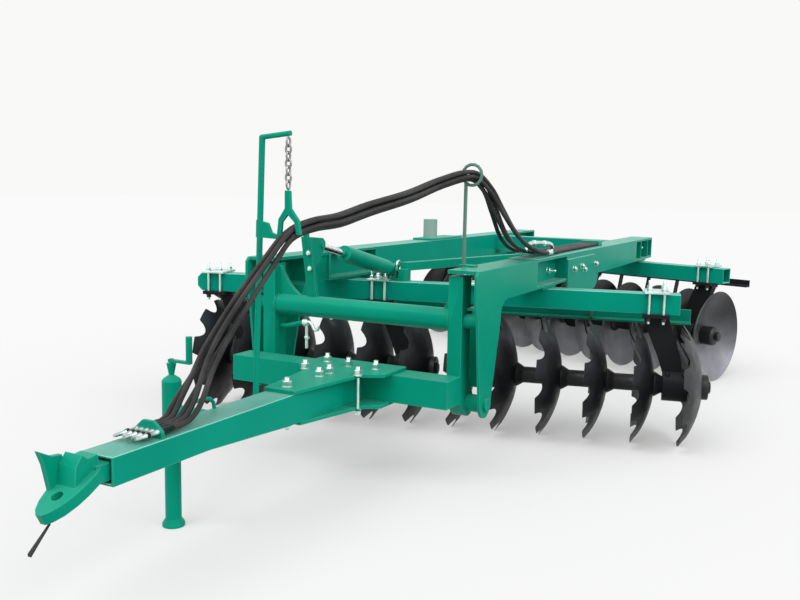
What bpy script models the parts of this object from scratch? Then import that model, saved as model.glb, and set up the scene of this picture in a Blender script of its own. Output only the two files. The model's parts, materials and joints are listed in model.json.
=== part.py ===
"""Trailed offset disc harrow, 24 discs, parked on its discs and its drawbar jack.

Units are metres, +Z is up, the front of the machine is -Y and its left side is +X.
Positions below are in machine coordinates: X from the middle of the frame, Y from a
point between the two gangs, Z from the ground.  One empty, "harrow", carries every
piece and moves the whole machine so that the origin is under the middle of its box.
"""

import bpy
import bmesh
from math import atan2, cos, hypot, pi, radians, sin, sqrt
from mathutils import Matrix, Vector

# ---------------------------------------------------------------- driving sizes
ORIGIN_X = -0.0584              # machine coordinates of the model's origin
ORIGIN_Y = -0.5219
FIT = 0.0003                    # gap kept between pieces that are bolted together
RUN = 0.006                     # gap kept between pieces that move past each other
JOURNAL = 0.0004                # gap between a pin or a shaft and its bore

# discs and spools
DISC_RADIUS = 0.305
DISC_DEPTH = 0.100              # from the rim's plane to the bottom of the dish
DISC_THICK = 0.006
DISC_PITCH = 0.230
DISCS_PER_SECTION = 6
HUB_RADIUS = 0.062
SPOOL_RADIUS = 0.042
FLARE_LENGTH = 0.030
MID_RADIUS = 0.232
NOTCHES = 10
NOTCH_DEPTH = 0.046
BELL_LENGTH = 0.095
BELL_RADIUS = 0.064
END_WASHER = 0.026
NUT_RADIUS = 0.030
NUT_LENGTH = 0.026
TAIL_NUT = 0.012

# gang beams, hangers and scrapers
GANG_BEAM = 0.100
BEAM_WALL = 0.008
BEAM_TOP = 0.768
BEAM_CORNER = 0.026             # cut off the corners at a closed beam's right end
HANGER_HALF = 0.059             # half the width of a hanger's arm under its pad
HANGER_THICK = 0.060
HOUSING_RADIUS = 0.080
HOUSING_ENDS = (-0.045, 0.075)  # from the bearing's middle, the hollow face's side being more
SCRAPER_BAR = 0.050
SCRAPER_THICK = 0.012
SCRAPER_BEHIND = 0.217           # the bar's middle is behind the gang's axis
SCRAPER_ARMS = (-0.80, 0.02, 0.80)   # places of the bar's arms along the gang

# frame
FRAME_X = -0.040                # middle of the frame
FRAME_HALF = 0.590              # from there to the outer face of a longitudinal
RAIL = 0.150                    # width of a longitudinal
RAIL_LOW = 0.782
RAIL_TOP = 0.930
RAIL_PLATE = 0.014
SADDLE_HALF = 0.240             # half the length of the open saddle over a gang beam
GUSSET_LONG = 0.600             # plate on a longitudinal's outer face, behind its front saddle
GUSSET_DEEP = 0.200
GUSSET_LOW = 0.700
GUSSET_THICK = 0.010
CHEEK_PLATE = 0.012
CHEEK_FRONT = -1.630
CHEEK_TOP = 0.926
CHEEK_BACK = -1.350             # rear edge of the leg under its arm
CROSS_Y = 1.200
CROSS_DEEP = 0.100
SOCKET_Y = 0.200
BRACE_START = (-0.226, -0.790, 14.7)   # x, y and how far it turns from straight back, in degrees
BRACE_WIDE = 0.036
BRACE_LOW = 0.821
BRACE_DEEP = 0.045

# hitch pivot at the foot of each leg
PIVOT_Y = -1.500
PIVOT_Z = 0.345
PIVOT_EYE = 0.060
PIVOT_PIN = 0.030
PIVOT_BOSS = 0.038

# hitch frame
HITCH_BEAM = 0.130              # depth along the machine
HITCH_HIGH = 0.118
HITCH_LOW = 0.357
HITCH_FRONT_Y = -1.725
HITCH_NEAR_X = 0.472
UPRIGHT_OUT = 0.512             # from the frame's middle to an upright's outer face
UPRIGHT_WIDE = 0.065
UPRIGHT_DEEP = 0.090
UPRIGHT_TOP = 0.899
PIPE_RADIUS = 0.049
PIPE_SIDES = 16
PIPE_Z = 0.708
PIPE_Y = -1.550

# drawbar
DRAWBAR_X = 0.0
DRAWBAR_WIDE = 0.128
DRAWBAR_FRONT_Y = -3.145
DRAWBAR_LOW = 0.385
DRAWBAR_TOP = 0.475
DRAWBAR_WALL = 0.008
CLAMP_PLATE = 0.015

# hitch clevis on a cross pin in the drawbar's mouth
CLEVIS_Y = -3.105
CLEVIS_Z = 0.430
CLEVIS_HALF = 0.034
CLEVIS_BLOCK = 0.047            # half the width of its block in the drawbar's mouth
TONGUE_TOP = (-3.170, 0.455)    # y, z where the tongue's upper face begins
TONGUE_DROOP = 27.0             # degrees
TONGUE_THICK = 0.036
TONGUE_HOLE = 0.135             # from the beginning to the middle of the hitch pin's hole
TONGUE_HOLE_RADIUS = 0.018
# The tongue's edge.  Columns: distance from the beginning, half width.
TONGUE_EDGE = [(0, 0.046), (0.030, 0.056), (0.080, 0.058), (0.125, 0.054), (0.165, 0.043), (0.195, 0.026),
               (0.2099, 0.010)]
CLEVIS_PIN = 0.014

# levelling cylinder
CYLINDER_X = -0.300
MAST_PIN = (-1.520, 0.992)      # y, z of the rod's eye on the mast
BEAM_PIN = (-0.770, 0.820)      # y, z of the barrel's pin on the gang beam's bracket
CYLINDER_RADIUS = 0.040
EYE_HALF = 0.015                # half the width of the rod's eye
MAST_HALF = 0.018               # from the middle to a mast plate's inner face
MAST_PLATE = 0.008
ROD_RADIUS = 0.017
CYLINDER_PIN = 0.014
EYE_SLACK = 0.0028              # between the rod's eye and the mast's pin, more than a journal's gap

# jack
JACK_X = -0.258
JACK_Y = -2.544
JACK_TUBE = 0.036
JACK_LEG = 0.030
JACK_TOP = 0.560
JACK_TUBE_LOW = 0.300
JACK_FOOT = 0.042
JACK_HELD = 0.070               # how much of the leg is in the tube when it stands on the ground

# hoses and what holds them
HOSES = 5
HOSE_RADIUS = 0.0095
HOSE_SPACING = 0.021            # between hoses that lie side by side
HOSE_BUNDLE = 0.0175            # from the middle of the round bundle to each hose
HOSE_POLE_Y = -2.280
HOSE_YOKE_X = 0.070
HOSE_RING = (0.424, -1.420, 1.322)
CHAIN_LINKS = 7
# The route of the hoses' middle, from the rack to the block.  Columns: point, share of
# the round bundle at that point, how far the hoses spread from the middle, pieces of the
# curve from there to the next point.
HOSE_ROUTE = [
    ((0.000, -2.870, 0.497), 0.0, 1.0, 1), ((0.000, -2.850, 0.497), 0.0, 1.0, 1),
    ((0.000, -2.830, 0.497), 0.0, 1.0, 1), ((-0.005, -2.780, 0.512), 0.1, 1.2, 2),
    ((-0.020, -2.700, 0.575), 0.4, 1.5, 2), ((-0.008, -2.620, 0.692), 0.8, 1.7, 1),
    ((0.026, -2.500, 0.848), 1.0, 1.6, 1), ((0.052, -2.385, 0.975), 1.0, 1.3, 1),
    ((0.075, -2.280, 1.080), 1.0, 1.0, 1), ((0.113, -2.180, 1.120), 1.0, 1.1, 1),
    ((0.161, -2.069, 1.138), 1.0, 1.2, 1), ((0.217, -1.935, 1.180), 1.0, 1.2, 1),
    ((0.290, -1.750, 1.228), 1.0, 1.1, 1), ((0.360, -1.580, 1.288), 1.0, 1.0, 2),
    ((0.420, -1.420, 1.320), 1.0, 1.0, 2), ((0.462, -1.340, 1.262), 1.0, 1.1, 1),
    ((0.482, -1.250, 1.160), 0.9, 1.5, 1), ((0.485, -1.110, 1.055), 0.7, 1.9, 2),
    ((0.470, -0.900, 0.985), 0.3, 1.8, 1), ((0.458, -0.650, 0.948), 0.0, 1.5, 1),
    ((0.452, -0.300, 0.9415), 0.0, 1.1, 1), ((0.452, 0.360, 0.9415), 0.0, 1.0, 1),
]

# Gangs.  Columns: name, middle x, middle y, yaw in degrees, side of the hollow faces
# along the gang (-1 right, +1 left), notched rims, beam ahead of the axis, beam from and
# to (along the gang), scraper bar height, how far the bar runs past the outer rims.
GANGS = [
    ("front", -0.050, -0.750, 13.0, -1, True, 0.020, -1.356, 1.235, 0.590, 0.045, 0.040),
    ("rear", -0.100, 1.626, -18.4, 1, False, 0.000, -1.330, 1.315, 0.640, 0.055, 0.100),
]
# More of each gang.  Columns: height of the scraper bar's flange, scraper blades, counted
# from the right, and whether the beam's ends are open.
GANG_FITTINGS = {"front": (0.070, 12, False), "rear": (0.040, 11, True)}
# Hangers.  Columns: the two discs that the bearing runs between, then how far the pad
# stands from the bearing on the front gang and on the rear one.
HANGERS = [(1, 2, 0.195, 0.125), (5, 6, 0.165, 0.125), (7, 8, 0.125, 0.125), (11, 12, 0.125, 0.125)]
# A hanger's arm below its pad.  Columns: height, then its edges from the bearing, on the
# hollow face's side being more.
HANGER_ARM = [(0.345, -0.020, 0.070), (0.450, -0.005, 0.105), (0.555, 0.026, 0.150), (0.610, 0.048, 0.172)]

# ---------------------------------------------------------------- colours
GREEN = ("teal_paint", (0.0, 0.30, 0.20, 1), 0.42, 0.0)
BLACK = ("black_paint", (0.012, 0.013, 0.014, 1), 0.5, 0.0)
STEEL = ("worn_steel", (0.22, 0.21, 0.22, 1), 0.38, 0.9)
CHROME = ("bright_rod", (0.75, 0.76, 0.78, 1), 0.15, 1.0)
RUBBER = ("hose_rubber", (0.02, 0.02, 0.021, 1), 0.75, 0.0)


def clear_scene():
    for item in list(bpy.data.objects):
        bpy.data.objects.remove(item, do_unlink=True)


def paint(look):
    name, colour, rough, metal = look
    material = bpy.data.materials.get(name)
    if material is None:
        material = bpy.data.materials.new(name)
        material.use_nodes = True
        shader = material.node_tree.nodes["Principled BSDF"]
        shader.inputs["Base Color"].default_value = colour
        shader.inputs["Roughness"].default_value = rough
        shader.inputs["Metallic"].default_value = metal
        material.diffuse_color = colour
    return material


# ---------------------------------------------------------------- shapes
def arc(cx, cy, radius, start, end, steps):
    """Points on an arc, angles in degrees, both ends included."""
    return [(cx + radius * cos(radians(start + (end - start) * k / steps)),
             cy + radius * sin(radians(start + (end - start) * k / steps)))
            for k in range(steps + 1)]


def shape(points, faces):
    """A bmesh from points and faces, with its faces pointing out."""
    bm = bmesh.new()
    verts = [bm.verts.new(p) for p in points]
    for face in faces:
        bm.faces.new([verts[k] for k in face])
    bmesh.ops.recalc_face_normals(bm, faces=bm.faces)
    return bm


def box(low, high):
    (x0, y0, z0), (x1, y1, z1) = low, high
    points = [(x, y, z) for x in (x0, x1) for y in (y0, y1) for z in (z0, z1)]
    return shape(points, [(0, 1, 3, 2), (4, 6, 7, 5), (0, 4, 5, 1), (2, 3, 7, 6), (0, 2, 6, 4), (1, 5, 7, 3)])


def prism(outline, axis, low, high):
    """An outline extruded along x, y or z.  It is given as (y, z), (x, z) or (x, y)."""
    place = {"x": lambda u, v, w: (w, u, v), "y": lambda u, v, w: (u, w, v), "z": lambda u, v, w: (u, v, w)}[axis]
    n = len(outline)
    points = [place(u, v, low) for u, v in outline] + [place(u, v, high) for u, v in outline]
    sides = [(k, (k + 1) % n, n + (k + 1) % n, n + k) for k in range(n)]
    return shape(points, [tuple(range(n)), tuple(range(2 * n - 1, n - 1, -1))] + sides)


def turned(profile, start, direction, sides=16, bore=None):
    """A profile of (distance, radius) turned about a line; with a bore it is a ring."""
    direction = Vector(direction).normalized()
    turn = Vector((0, 0, 1)).rotation_difference(direction).to_matrix()
    rows = list(profile)
    if bore is not None:
        rows = rows + [(profile[-1][0], bore), (profile[0][0], bore)]
    points = []
    for distance, radius in rows:
        for k in range(sides):
            a = 2 * pi * (k + 0.5) / sides
            points.append(Vector(start) + turn @ Vector((radius * cos(a), radius * sin(a), distance)))
    faces = []
    count = len(rows)
    loops = range(count) if bore is not None else range(count - 1)
    for r in loops:
        s = (r + 1) % count
        for k in range(sides):
            j = (k + 1) % sides
            faces.append((r * sides + k, r * sides + j, s * sides + j, s * sides + k))
    if bore is None:
        faces.append(tuple(range(sides)))
        faces.append(tuple(range((count - 1) * sides, count * sides)))
    return shape(points, faces)


def rod(start, end, radius, sides=12, bore=None):
    start, end = Vector(start), Vector(end)
    return turned([(0, radius), ((end - start).length, radius)], start, end - start, sides, bore)


def hole(start, end, shaft_radius, sides=12):
    """A cutter whose flats clear a shaft of the given radius."""
    return rod(start, end, (shaft_radius + JOURNAL) / cos(pi / sides), sides)


def sweep(stations):
    """A bar through four-cornered sections, each (centre, half width, half thickness)."""
    points = []
    for centre, wide, thick in stations:
        c, w, t = Vector(centre), Vector(wide), Vector(thick)
        points += [c - w - t, c + w - t, c + w + t, c - w + t]
    faces = [(0, 1, 2, 3)]
    for s in range(len(stations) - 1):
        for k in range(4):
            j = (k + 1) % 4
            faces.append((4 * s + k, 4 * s + j, 4 * s + 4 + j, 4 * s + 4 + k))
    last = 4 * (len(stations) - 1)
    faces.append((last + 3, last + 2, last + 1, last))
    return shape(points, faces)


# ---------------------------------------------------------------- objects
def new_object(name, bm, look, smooth=False):
    mesh = bpy.data.meshes.new(name)
    bm.to_mesh(mesh)
    bm.free()
    mesh.materials.append(paint(look))
    item = bpy.data.objects.new(name, mesh)
    bpy.context.collection.objects.link(item)
    item.parent = HARROW
    if smooth:
        mesh.shade_smooth()
        mesh.set_sharp_from_angle(angle=radians(35))
    return item


def joined(pieces, operation="UNION", cutters=()):
    """One closed bmesh made from several by exact Booleans."""
    def as_object(bm):
        mesh = bpy.data.meshes.new("piece")
        bm.to_mesh(mesh)
        bm.free()
        item = bpy.data.objects.new("piece", mesh)
        bpy.context.collection.objects.link(item)
        return item

    base = as_object(pieces[0])
    others = [(as_object(bm), "UNION") for bm in pieces[1:]]
    others += [(as_object(bm), "DIFFERENCE") for bm in cutters]
    for other, how in others:
        step = base.modifiers.new(how.lower(), "BOOLEAN")
        step.operation = how
        step.object = other
        step.solver = "EXACT"
    graph = bpy.context.evaluated_depsgraph_get()
    result = bmesh.new()
    result.from_mesh(base.evaluated_get(graph).to_mesh())
    bmesh.ops.dissolve_limit(result, angle_limit=radians(0.2), verts=result.verts, edges=result.edges)
    for item, _ in others:
        bpy.data.objects.remove(item, do_unlink=True)
    bpy.data.objects.remove(base, do_unlink=True)
    return result


def welded(name, pieces, look, cutters=(), smooth=False):
    return new_object(name, joined(pieces, cutters=cutters), look, smooth)


# ---------------------------------------------------------------- disc gangs
def rim_angles(notched):
    """Angles round a rim, with the rim's radius at each.  A notched rim has five points
    for each of its teeth: three on the crown and two in the scallop."""
    if not notched:
        count = 30
        return [(2 * pi * k / count - pi / 2, DISC_RADIUS) for k in range(count)]
    tooth = 2 * pi / NOTCHES
    pattern = [(-0.25, 0), (0, 0), (0.25, 0), (0.41, 1), (0.59, 1)]
    return [(tooth * (k + share) - pi / 2, DISC_RADIUS - NOTCH_DEPTH * deep)
            for k in range(NOTCHES) for share, deep in pattern]


def even_angles(count, start=0.0):
    return [start + 2 * pi * k / count for k in range(count)]


def ring(bm, distance, angles, radius):
    """A closed ring of points round X; radius is a number or one for each angle."""
    radii = radius if isinstance(radius, list) else [radius] * len(angles)
    return [(a, bm.verts.new((distance if not callable(distance) else distance(r), r * cos(a), r * sin(a))))
            for a, r in zip(angles, radii)]


def bridge(bm, first, second):
    """Triangles between two rings of any counts, stepping by angle."""
    n, m = len(first), len(second)
    i = j = 0
    while i < n or j < m:
        next_i = first[(i + 1) % n][0] + (2 * pi if i + 1 >= n else 0) if i < n else 1e9
        next_j = second[(j + 1) % m][0] + (2 * pi if j + 1 >= m else 0) if j < m else 1e9
        a, b = first[i % n][1], second[j % m][1]
        if next_i <= next_j:
            bm.faces.new((a, b, first[(i + 1) % n][1]))
            i += 1
        else:
            bm.faces.new((a, b, second[(j + 1) % m][1]))
            j += 1


def dish(radius):
    """How far the dished face lies from the bottom of the dish at a radius."""
    sphere = (DISC_RADIUS ** 2 + DISC_DEPTH ** 2) / (2 * DISC_DEPTH)
    return sphere - sqrt(sphere ** 2 - radius ** 2)


def gang_section(name, notched, first_bottom):
    """Six discs on their axle as one closed body about local X.

    The hollow faces look along +X.  first_bottom is the place of the first disc's
    bottom along X; each next disc is one pitch further."""
    bm = bmesh.new()
    rim = rim_angles(notched)
    start = -pi / 2
    hub = even_angles(10, start)
    mid = even_angles(NOTCHES, start)
    rim_at = [a for a, _ in rim]
    rim_radii = [r for _, r in rim]
    rows = []

    def add(distance, angles, radius):
        rows.append(ring(bm, distance, angles, radius))

    end = first_bottom - END_WASHER
    add(end - TAIL_NUT, hub, NUT_RADIUS)
    add(end, hub, NUT_RADIUS)
    add(end, hub, HUB_RADIUS)
    for k in range(DISCS_PER_SECTION):
        bottom = first_bottom + k * DISC_PITCH
        if k > 0:
            add(bottom - FLARE_LENGTH, hub, SPOOL_RADIUS)
        add(bottom + dish(HUB_RADIUS), hub, HUB_RADIUS)
        add(bottom + dish(MID_RADIUS), mid, MID_RADIUS)
        add(lambda r, b=bottom: b + dish(r), rim_at, rim_radii)
        add(lambda r, b=bottom: b + dish(r) + DISC_THICK, rim_at, rim_radii)
        add(bottom + dish(MID_RADIUS) + DISC_THICK, mid, MID_RADIUS)
        face = bottom + dish(HUB_RADIUS) + DISC_THICK
        add(face, hub, HUB_RADIUS)
        if k < DISCS_PER_SECTION - 1:
            add(bottom + DISC_THICK + FLARE_LENGTH, hub, SPOOL_RADIUS)
    tip = first_bottom + (DISCS_PER_SECTION - 1) * DISC_PITCH + DISC_THICK + BELL_LENGTH
    add(tip - 0.02, hub, BELL_RADIUS)
    add(tip, hub, BELL_RADIUS - 0.014)
    add(tip, hub, NUT_RADIUS)
    add(tip + NUT_LENGTH, hub, NUT_RADIUS)
    for a, b in zip(rows, rows[1:]):
        bridge(bm, a, b)
    bm.faces.new([v for _, v in rows[0]])
    bm.faces.new([v for _, v in rows[-1]])
    bmesh.ops.recalc_face_normals(bm, faces=bm.faces)
    return bm


def gang_matrix(gang):
    _, x, y, yaw = gang[:4]
    return Matrix.Translation((x, y, 0)) @ Matrix.Rotation(radians(yaw), 4, "Z")


def place(bm, matrix):
    bmesh.ops.transform(bm, matrix=matrix, verts=bm.verts)
    return bm


def rim_place(number):
    """Place of a disc's rim along its gang, from the gang's middle; discs count from the right."""
    return (number - (2 * DISCS_PER_SECTION + 1) / 2) * DISC_PITCH


def bearing_place(pair, side):
    """Middle of the spool between two discs, along the gang."""
    return (rim_place(pair[0]) + rim_place(pair[1])) / 2 - side * (DISC_DEPTH - DISC_THICK / 2)


def make_gangs():
    for gang in GANGS:
        name, x, y, yaw, side, notched = gang[:6]
        for part, numbers in (("right", range(1, 7)), ("left", range(7, 13))):
            rims = [rim_place(n) for n in numbers]
            first_rim = rims[0] if side > 0 else rims[-1]
            item = new_object(f"{name}_gang_{part}", gang_section(name, notched, -DISC_DEPTH), BLACK if notched else STEEL,
                              smooth=True)
            turn = radians(yaw) + (0 if side > 0 else pi)
            centre = gang_matrix(gang) @ Vector((first_rim, 0, DISC_RADIUS))
            item.location = centre
            item.rotation_euler = (0, 0, turn)


def make_beams():
    for gang in GANGS:
        name, ahead, low, high = gang[0], gang[6], gang[7], gang[8]
        half = GANG_BEAM / 2
        beam_low = BEAM_TOP - GANG_BEAM
        cut = 0 if GANG_FITTINGS[name][2] else BEAM_CORNER
        outer = box((low, -ahead - half, beam_low), (high, -ahead + half, BEAM_TOP))
        if cut:
            outline = [(low, beam_low + cut), (low, BEAM_TOP - cut), (low + cut, BEAM_TOP), (high, BEAM_TOP),
                       (high, beam_low), (low + cut, beam_low)]
            outer = prism(outline, "y", -ahead - half, -ahead + half)
        inner = [box((start, -ahead - half + BEAM_WALL, beam_low + BEAM_WALL),
                     (start + 0.12, -ahead + half - BEAM_WALL, BEAM_TOP - BEAM_WALL))
                 for start in (low - 0.01, high - 0.11) if GANG_FITTINGS[name][2]]
        bm = joined([outer], cutters=inner)
        new_object(f"{name}_gang_beam", place(bm, gang_matrix(gang)), GREEN)


def make_hangers():
    """Each hanger: a pad under the beam, a broad arm that follows the dish, a bearing housing."""
    for gang in GANGS:
        name, side, ahead = gang[0], gang[4], gang[6]
        beam_low = BEAM_TOP - GANG_BEAM
        for number, (first, second, shift, rear_shift) in enumerate(HANGERS, 1):
            bearing = bearing_place((first, second), side)
            pad_at = rear_shift if name == "rear" else shift
            rows = HANGER_ARM + [(beam_low - 0.010, pad_at - HANGER_HALF, pad_at + HANGER_HALF)]
            outline = [(bearing + side * near, up) for up, near, _ in rows]
            outline += [(bearing + side * far, up) for up, _, far in reversed(rows)]
            arm = prism(outline, "y", -HANGER_THICK / 2, HANGER_THICK / 2)
            top = bearing + side * pad_at
            pad = box((top - 0.065, -ahead - 0.075, beam_low - FIT - 0.018),
                      (top + 0.065, -ahead + 0.075, beam_low - FIT))
            start, end = (bearing + side * place for place in HOUSING_ENDS)
            housing = rod((start, 0, DISC_RADIUS), (end, 0, DISC_RADIUS), HOUSING_RADIUS, 16)
            bore = hole((bearing - DISC_PITCH / 2, 0, DISC_RADIUS), (bearing + DISC_PITCH / 2, 0, DISC_RADIUS),
                        SPOOL_RADIUS)
            bm = joined([arm, pad, housing], cutters=[bore])
            new_object(f"{name}_hanger_{number}", place(bm, gang_matrix(gang)), BLACK)


def make_scrapers():
    """A flanged bar behind each gang on three arms, its blades close to the discs' hollow faces."""
    for gang in GANGS:
        name, side, ahead = gang[0], gang[4], gang[6]
        height = gang[9]
        flange, blades, _ = GANG_FITTINGS[name]
        low, high = rim_place(1) - gang[10], rim_place(2 * DISCS_PER_SECTION) + gang[11]
        half, thin = SCRAPER_BAR / 2, SCRAPER_THICK / 2
        pieces = [box((low, SCRAPER_BEHIND - half, height - thin), (high, SCRAPER_BEHIND + half, height + thin)),
                  box((low, SCRAPER_BEHIND + half - 0.010, height), (high, SCRAPER_BEHIND + half, height + flange))]
        beam_back = GANG_BEAM / 2 - ahead + FIT
        for along in SCRAPER_ARMS:
            outline = [(beam_back, BEAM_TOP - 0.010), (beam_back, BEAM_TOP - GANG_BEAM + 0.010),
                       (SCRAPER_BEHIND - half + 0.006, height), (SCRAPER_BEHIND + half - 0.004, height),
                       (SCRAPER_BEHIND + half - 0.004, height + 0.036), (beam_back + 0.030, BEAM_TOP - 0.010)]
            pieces.append(prism(outline, "x", along - 0.007, along + 0.007))
        for number in range(1, blades + 1):
            bottom = rim_place(number) - side * DISC_DEPTH
            flat, tilted = Vector((0, 0.022, 0)), Vector((0, 0.022, -0.018))
            thick = Vector((side * 0.004, 0, 0))
            # Columns: distance from the disc's bottom, behind the axis, height above the ground.
            stations = [((0.140, SCRAPER_BEHIND, height), flat), ((0.128, 0.205, 0.525), flat),
                        ((0.098, SCRAPER_BEHIND - 0.045, 0.455), tilted),
                        ((0.062, 0.110, 0.400), tilted)]
            pieces.append(sweep([((bottom + side * a, b, up), wide, thick) for (a, b, up), wide in stations]))
        bm = joined(pieces)
        new_object(f"{name}_scrapers", place(bm, gang_matrix(gang)), GREEN if gang[5] else BLACK)


# ---------------------------------------------------------------- frame
def crossing(gang, x):
    """Y where a gang's beam passes under a longitudinal."""
    slope = radians(gang[3])
    return gang[2] + (x - gang[1]) * sin(slope) / cos(slope) - gang[6] / cos(slope)


def sides(first, second):
    return min(first, second), max(first, second)


def make_rails():
    """Box longitudinals whose ends are open saddles over the two gang beams."""
    for name, side in (("left", 1), ("right", -1)):
        x0, x1 = sides(FRAME_X + side * FRAME_HALF, FRAME_X + side * (FRAME_HALF - RAIL))
        middle = (x0 + x1) / 2
        front, rear = crossing(GANGS[0], middle), crossing(GANGS[1], middle)
        pieces = [box((x0, front + SADDLE_HALF, RAIL_LOW), (x1, rear - SADDLE_HALF, RAIL_TOP))]
        for centre, first, last in ((front, -SADDLE_HALF, SADDLE_HALF + 0.01), (rear, -SADDLE_HALF - 0.01, SADDLE_HALF)):
            y0, y1 = centre + first, centre + last
            pieces.append(box((x0, y0, RAIL_LOW), (x1, y1, RAIL_LOW + RAIL_PLATE)))
            pieces.append(box((x0, y0, RAIL_TOP - RAIL_PLATE), (x1, y1, RAIL_TOP)))
            pieces.append(box((middle - 0.008, y0, RAIL_LOW + 0.001), (middle + 0.008, y1, RAIL_TOP - 0.001)))
            end = y0 if centre == front else y1 - 0.012
            pieces.append(box((x0, end, RAIL_LOW), (x1, end + 0.012, RAIL_TOP)))
            pieces.append(box((x0 + 0.01, centre - 0.10, BEAM_TOP + FIT), (x1 - 0.01, centre + 0.10, RAIL_LOW + 0.001)))
        y0, half = front + SADDLE_HALF, GUSSET_DEEP / 2
        outline = [(y0, GUSSET_LOW), (y0, GUSSET_LOW + GUSSET_DEEP)]
        outline += arc(y0 + GUSSET_LONG - half, GUSSET_LOW + half, half, 90, -90, 8)
        face = FRAME_X + side * FRAME_HALF
        pieces.append(prism(outline, "x", *sides(face - side * 0.001, face + side * GUSSET_THICK)))
        welded(f"{name}_longitudinal", pieces, GREEN)


def make_legs():
    """The two plated legs that carry the hitch's pivot: an arm along and a tapering leg down."""
    for name, side in (("left", 1), ("right", -1)):
        middle = FRAME_X + side * (FRAME_HALF - RAIL / 2)
        back = crossing(GANGS[0], middle) - SADDLE_HALF - FIT
        outline = [(CHEEK_FRONT + 0.02, CHEEK_TOP), (CHEEK_FRONT, CHEEK_TOP - 0.02), (CHEEK_FRONT, RAIL_LOW)]
        outline += [(-1.606, 0.720)]
        outline += arc(PIVOT_Y, PIVOT_Z, PIVOT_EYE, 180, 360, 8)
        outline += [(CHEEK_BACK, 0.690)]
        outline += arc(CHEEK_BACK + 0.075, RAIL_LOW - 0.075, 0.075, 170, 90, 4)
        outline += [(back, RAIL_LOW), (back, CHEEK_TOP)]
        outer = FRAME_X + side * FRAME_HALF
        inner = FRAME_X + side * (UPRIGHT_OUT - UPRIGHT_WIDE)
        plate = prism(outline, "x", *sides(outer, outer - side * CHEEK_PLATE))
        eye = hole((outer - side * 0.05, PIVOT_Y, PIVOT_Z), (outer + side * 0.05, PIVOT_Y, PIVOT_Z), PIVOT_PIN)
        x0, x1 = sides(outer, inner)
        deck = box((x0, CHEEK_FRONT + 0.020, CHEEK_TOP - 0.015), (x1, back, CHEEK_TOP))
        heel = CHEEK_BACK + 0.075
        outline = [(-1.4357, 0.400), (CHEEK_BACK - 0.012, 0.690), (CHEEK_BACK - 0.009, 0.722)]
        outline += [(CHEEK_BACK + 0.020, 0.772), (heel - 0.003, RAIL_LOW + 0.010), (heel - 0.003, RAIL_LOW)]
        outline += [(CHEEK_BACK + 0.027, 0.7635), (CHEEK_BACK + 0.002, 0.7205), (CHEEK_BACK - 0.001, 0.690)]
        outline += [(-1.4270, 0.400)]
        shin = prism(outline, "x", *sides(outer - side * 0.002, inner + side * 0.010))
        gap = FRAME_X + side * (UPRIGHT_OUT + RUN)
        shelf = box((min(gap, outer - side * 0.002), -1.560, 0.754), (max(gap, outer - side * 0.002), -1.345, 0.766))
        x0, x1 = sides(outer - side * 0.002, inner + side * 0.010)
        web = box((x0, CHEEK_BACK + 0.060, RAIL_LOW), (x1, CHEEK_BACK + 0.072, CHEEK_TOP - 0.001))
        tail = box((x0, back - 0.014, RAIL_LOW), (x1, back, CHEEK_TOP - 0.001))
        x0, x1 = sides(inner + side * 0.010, inner + side * 0.020)
        cheek = box((x0, CHEEK_BACK + 0.060, RAIL_LOW), (x1, back, CHEEK_TOP - 0.001))
        welded(f"{name}_front_leg", [plate, deck, shin, shelf, web, tail, cheek], GREEN, cutters=[eye])


def make_cross_members():
    x0 = FRAME_X - FRAME_HALF + RAIL + FIT
    x1 = FRAME_X + FRAME_HALF - RAIL - FIT
    for name, y, low, high in (("rear_cross_member", CROSS_Y, RAIL_TOP - 0.110, RAIL_TOP - 0.010),):
        half = CROSS_DEEP / 2
        welded(name, [box((x0, y - half, low), (x1, y + half, high))], GREEN)


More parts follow.
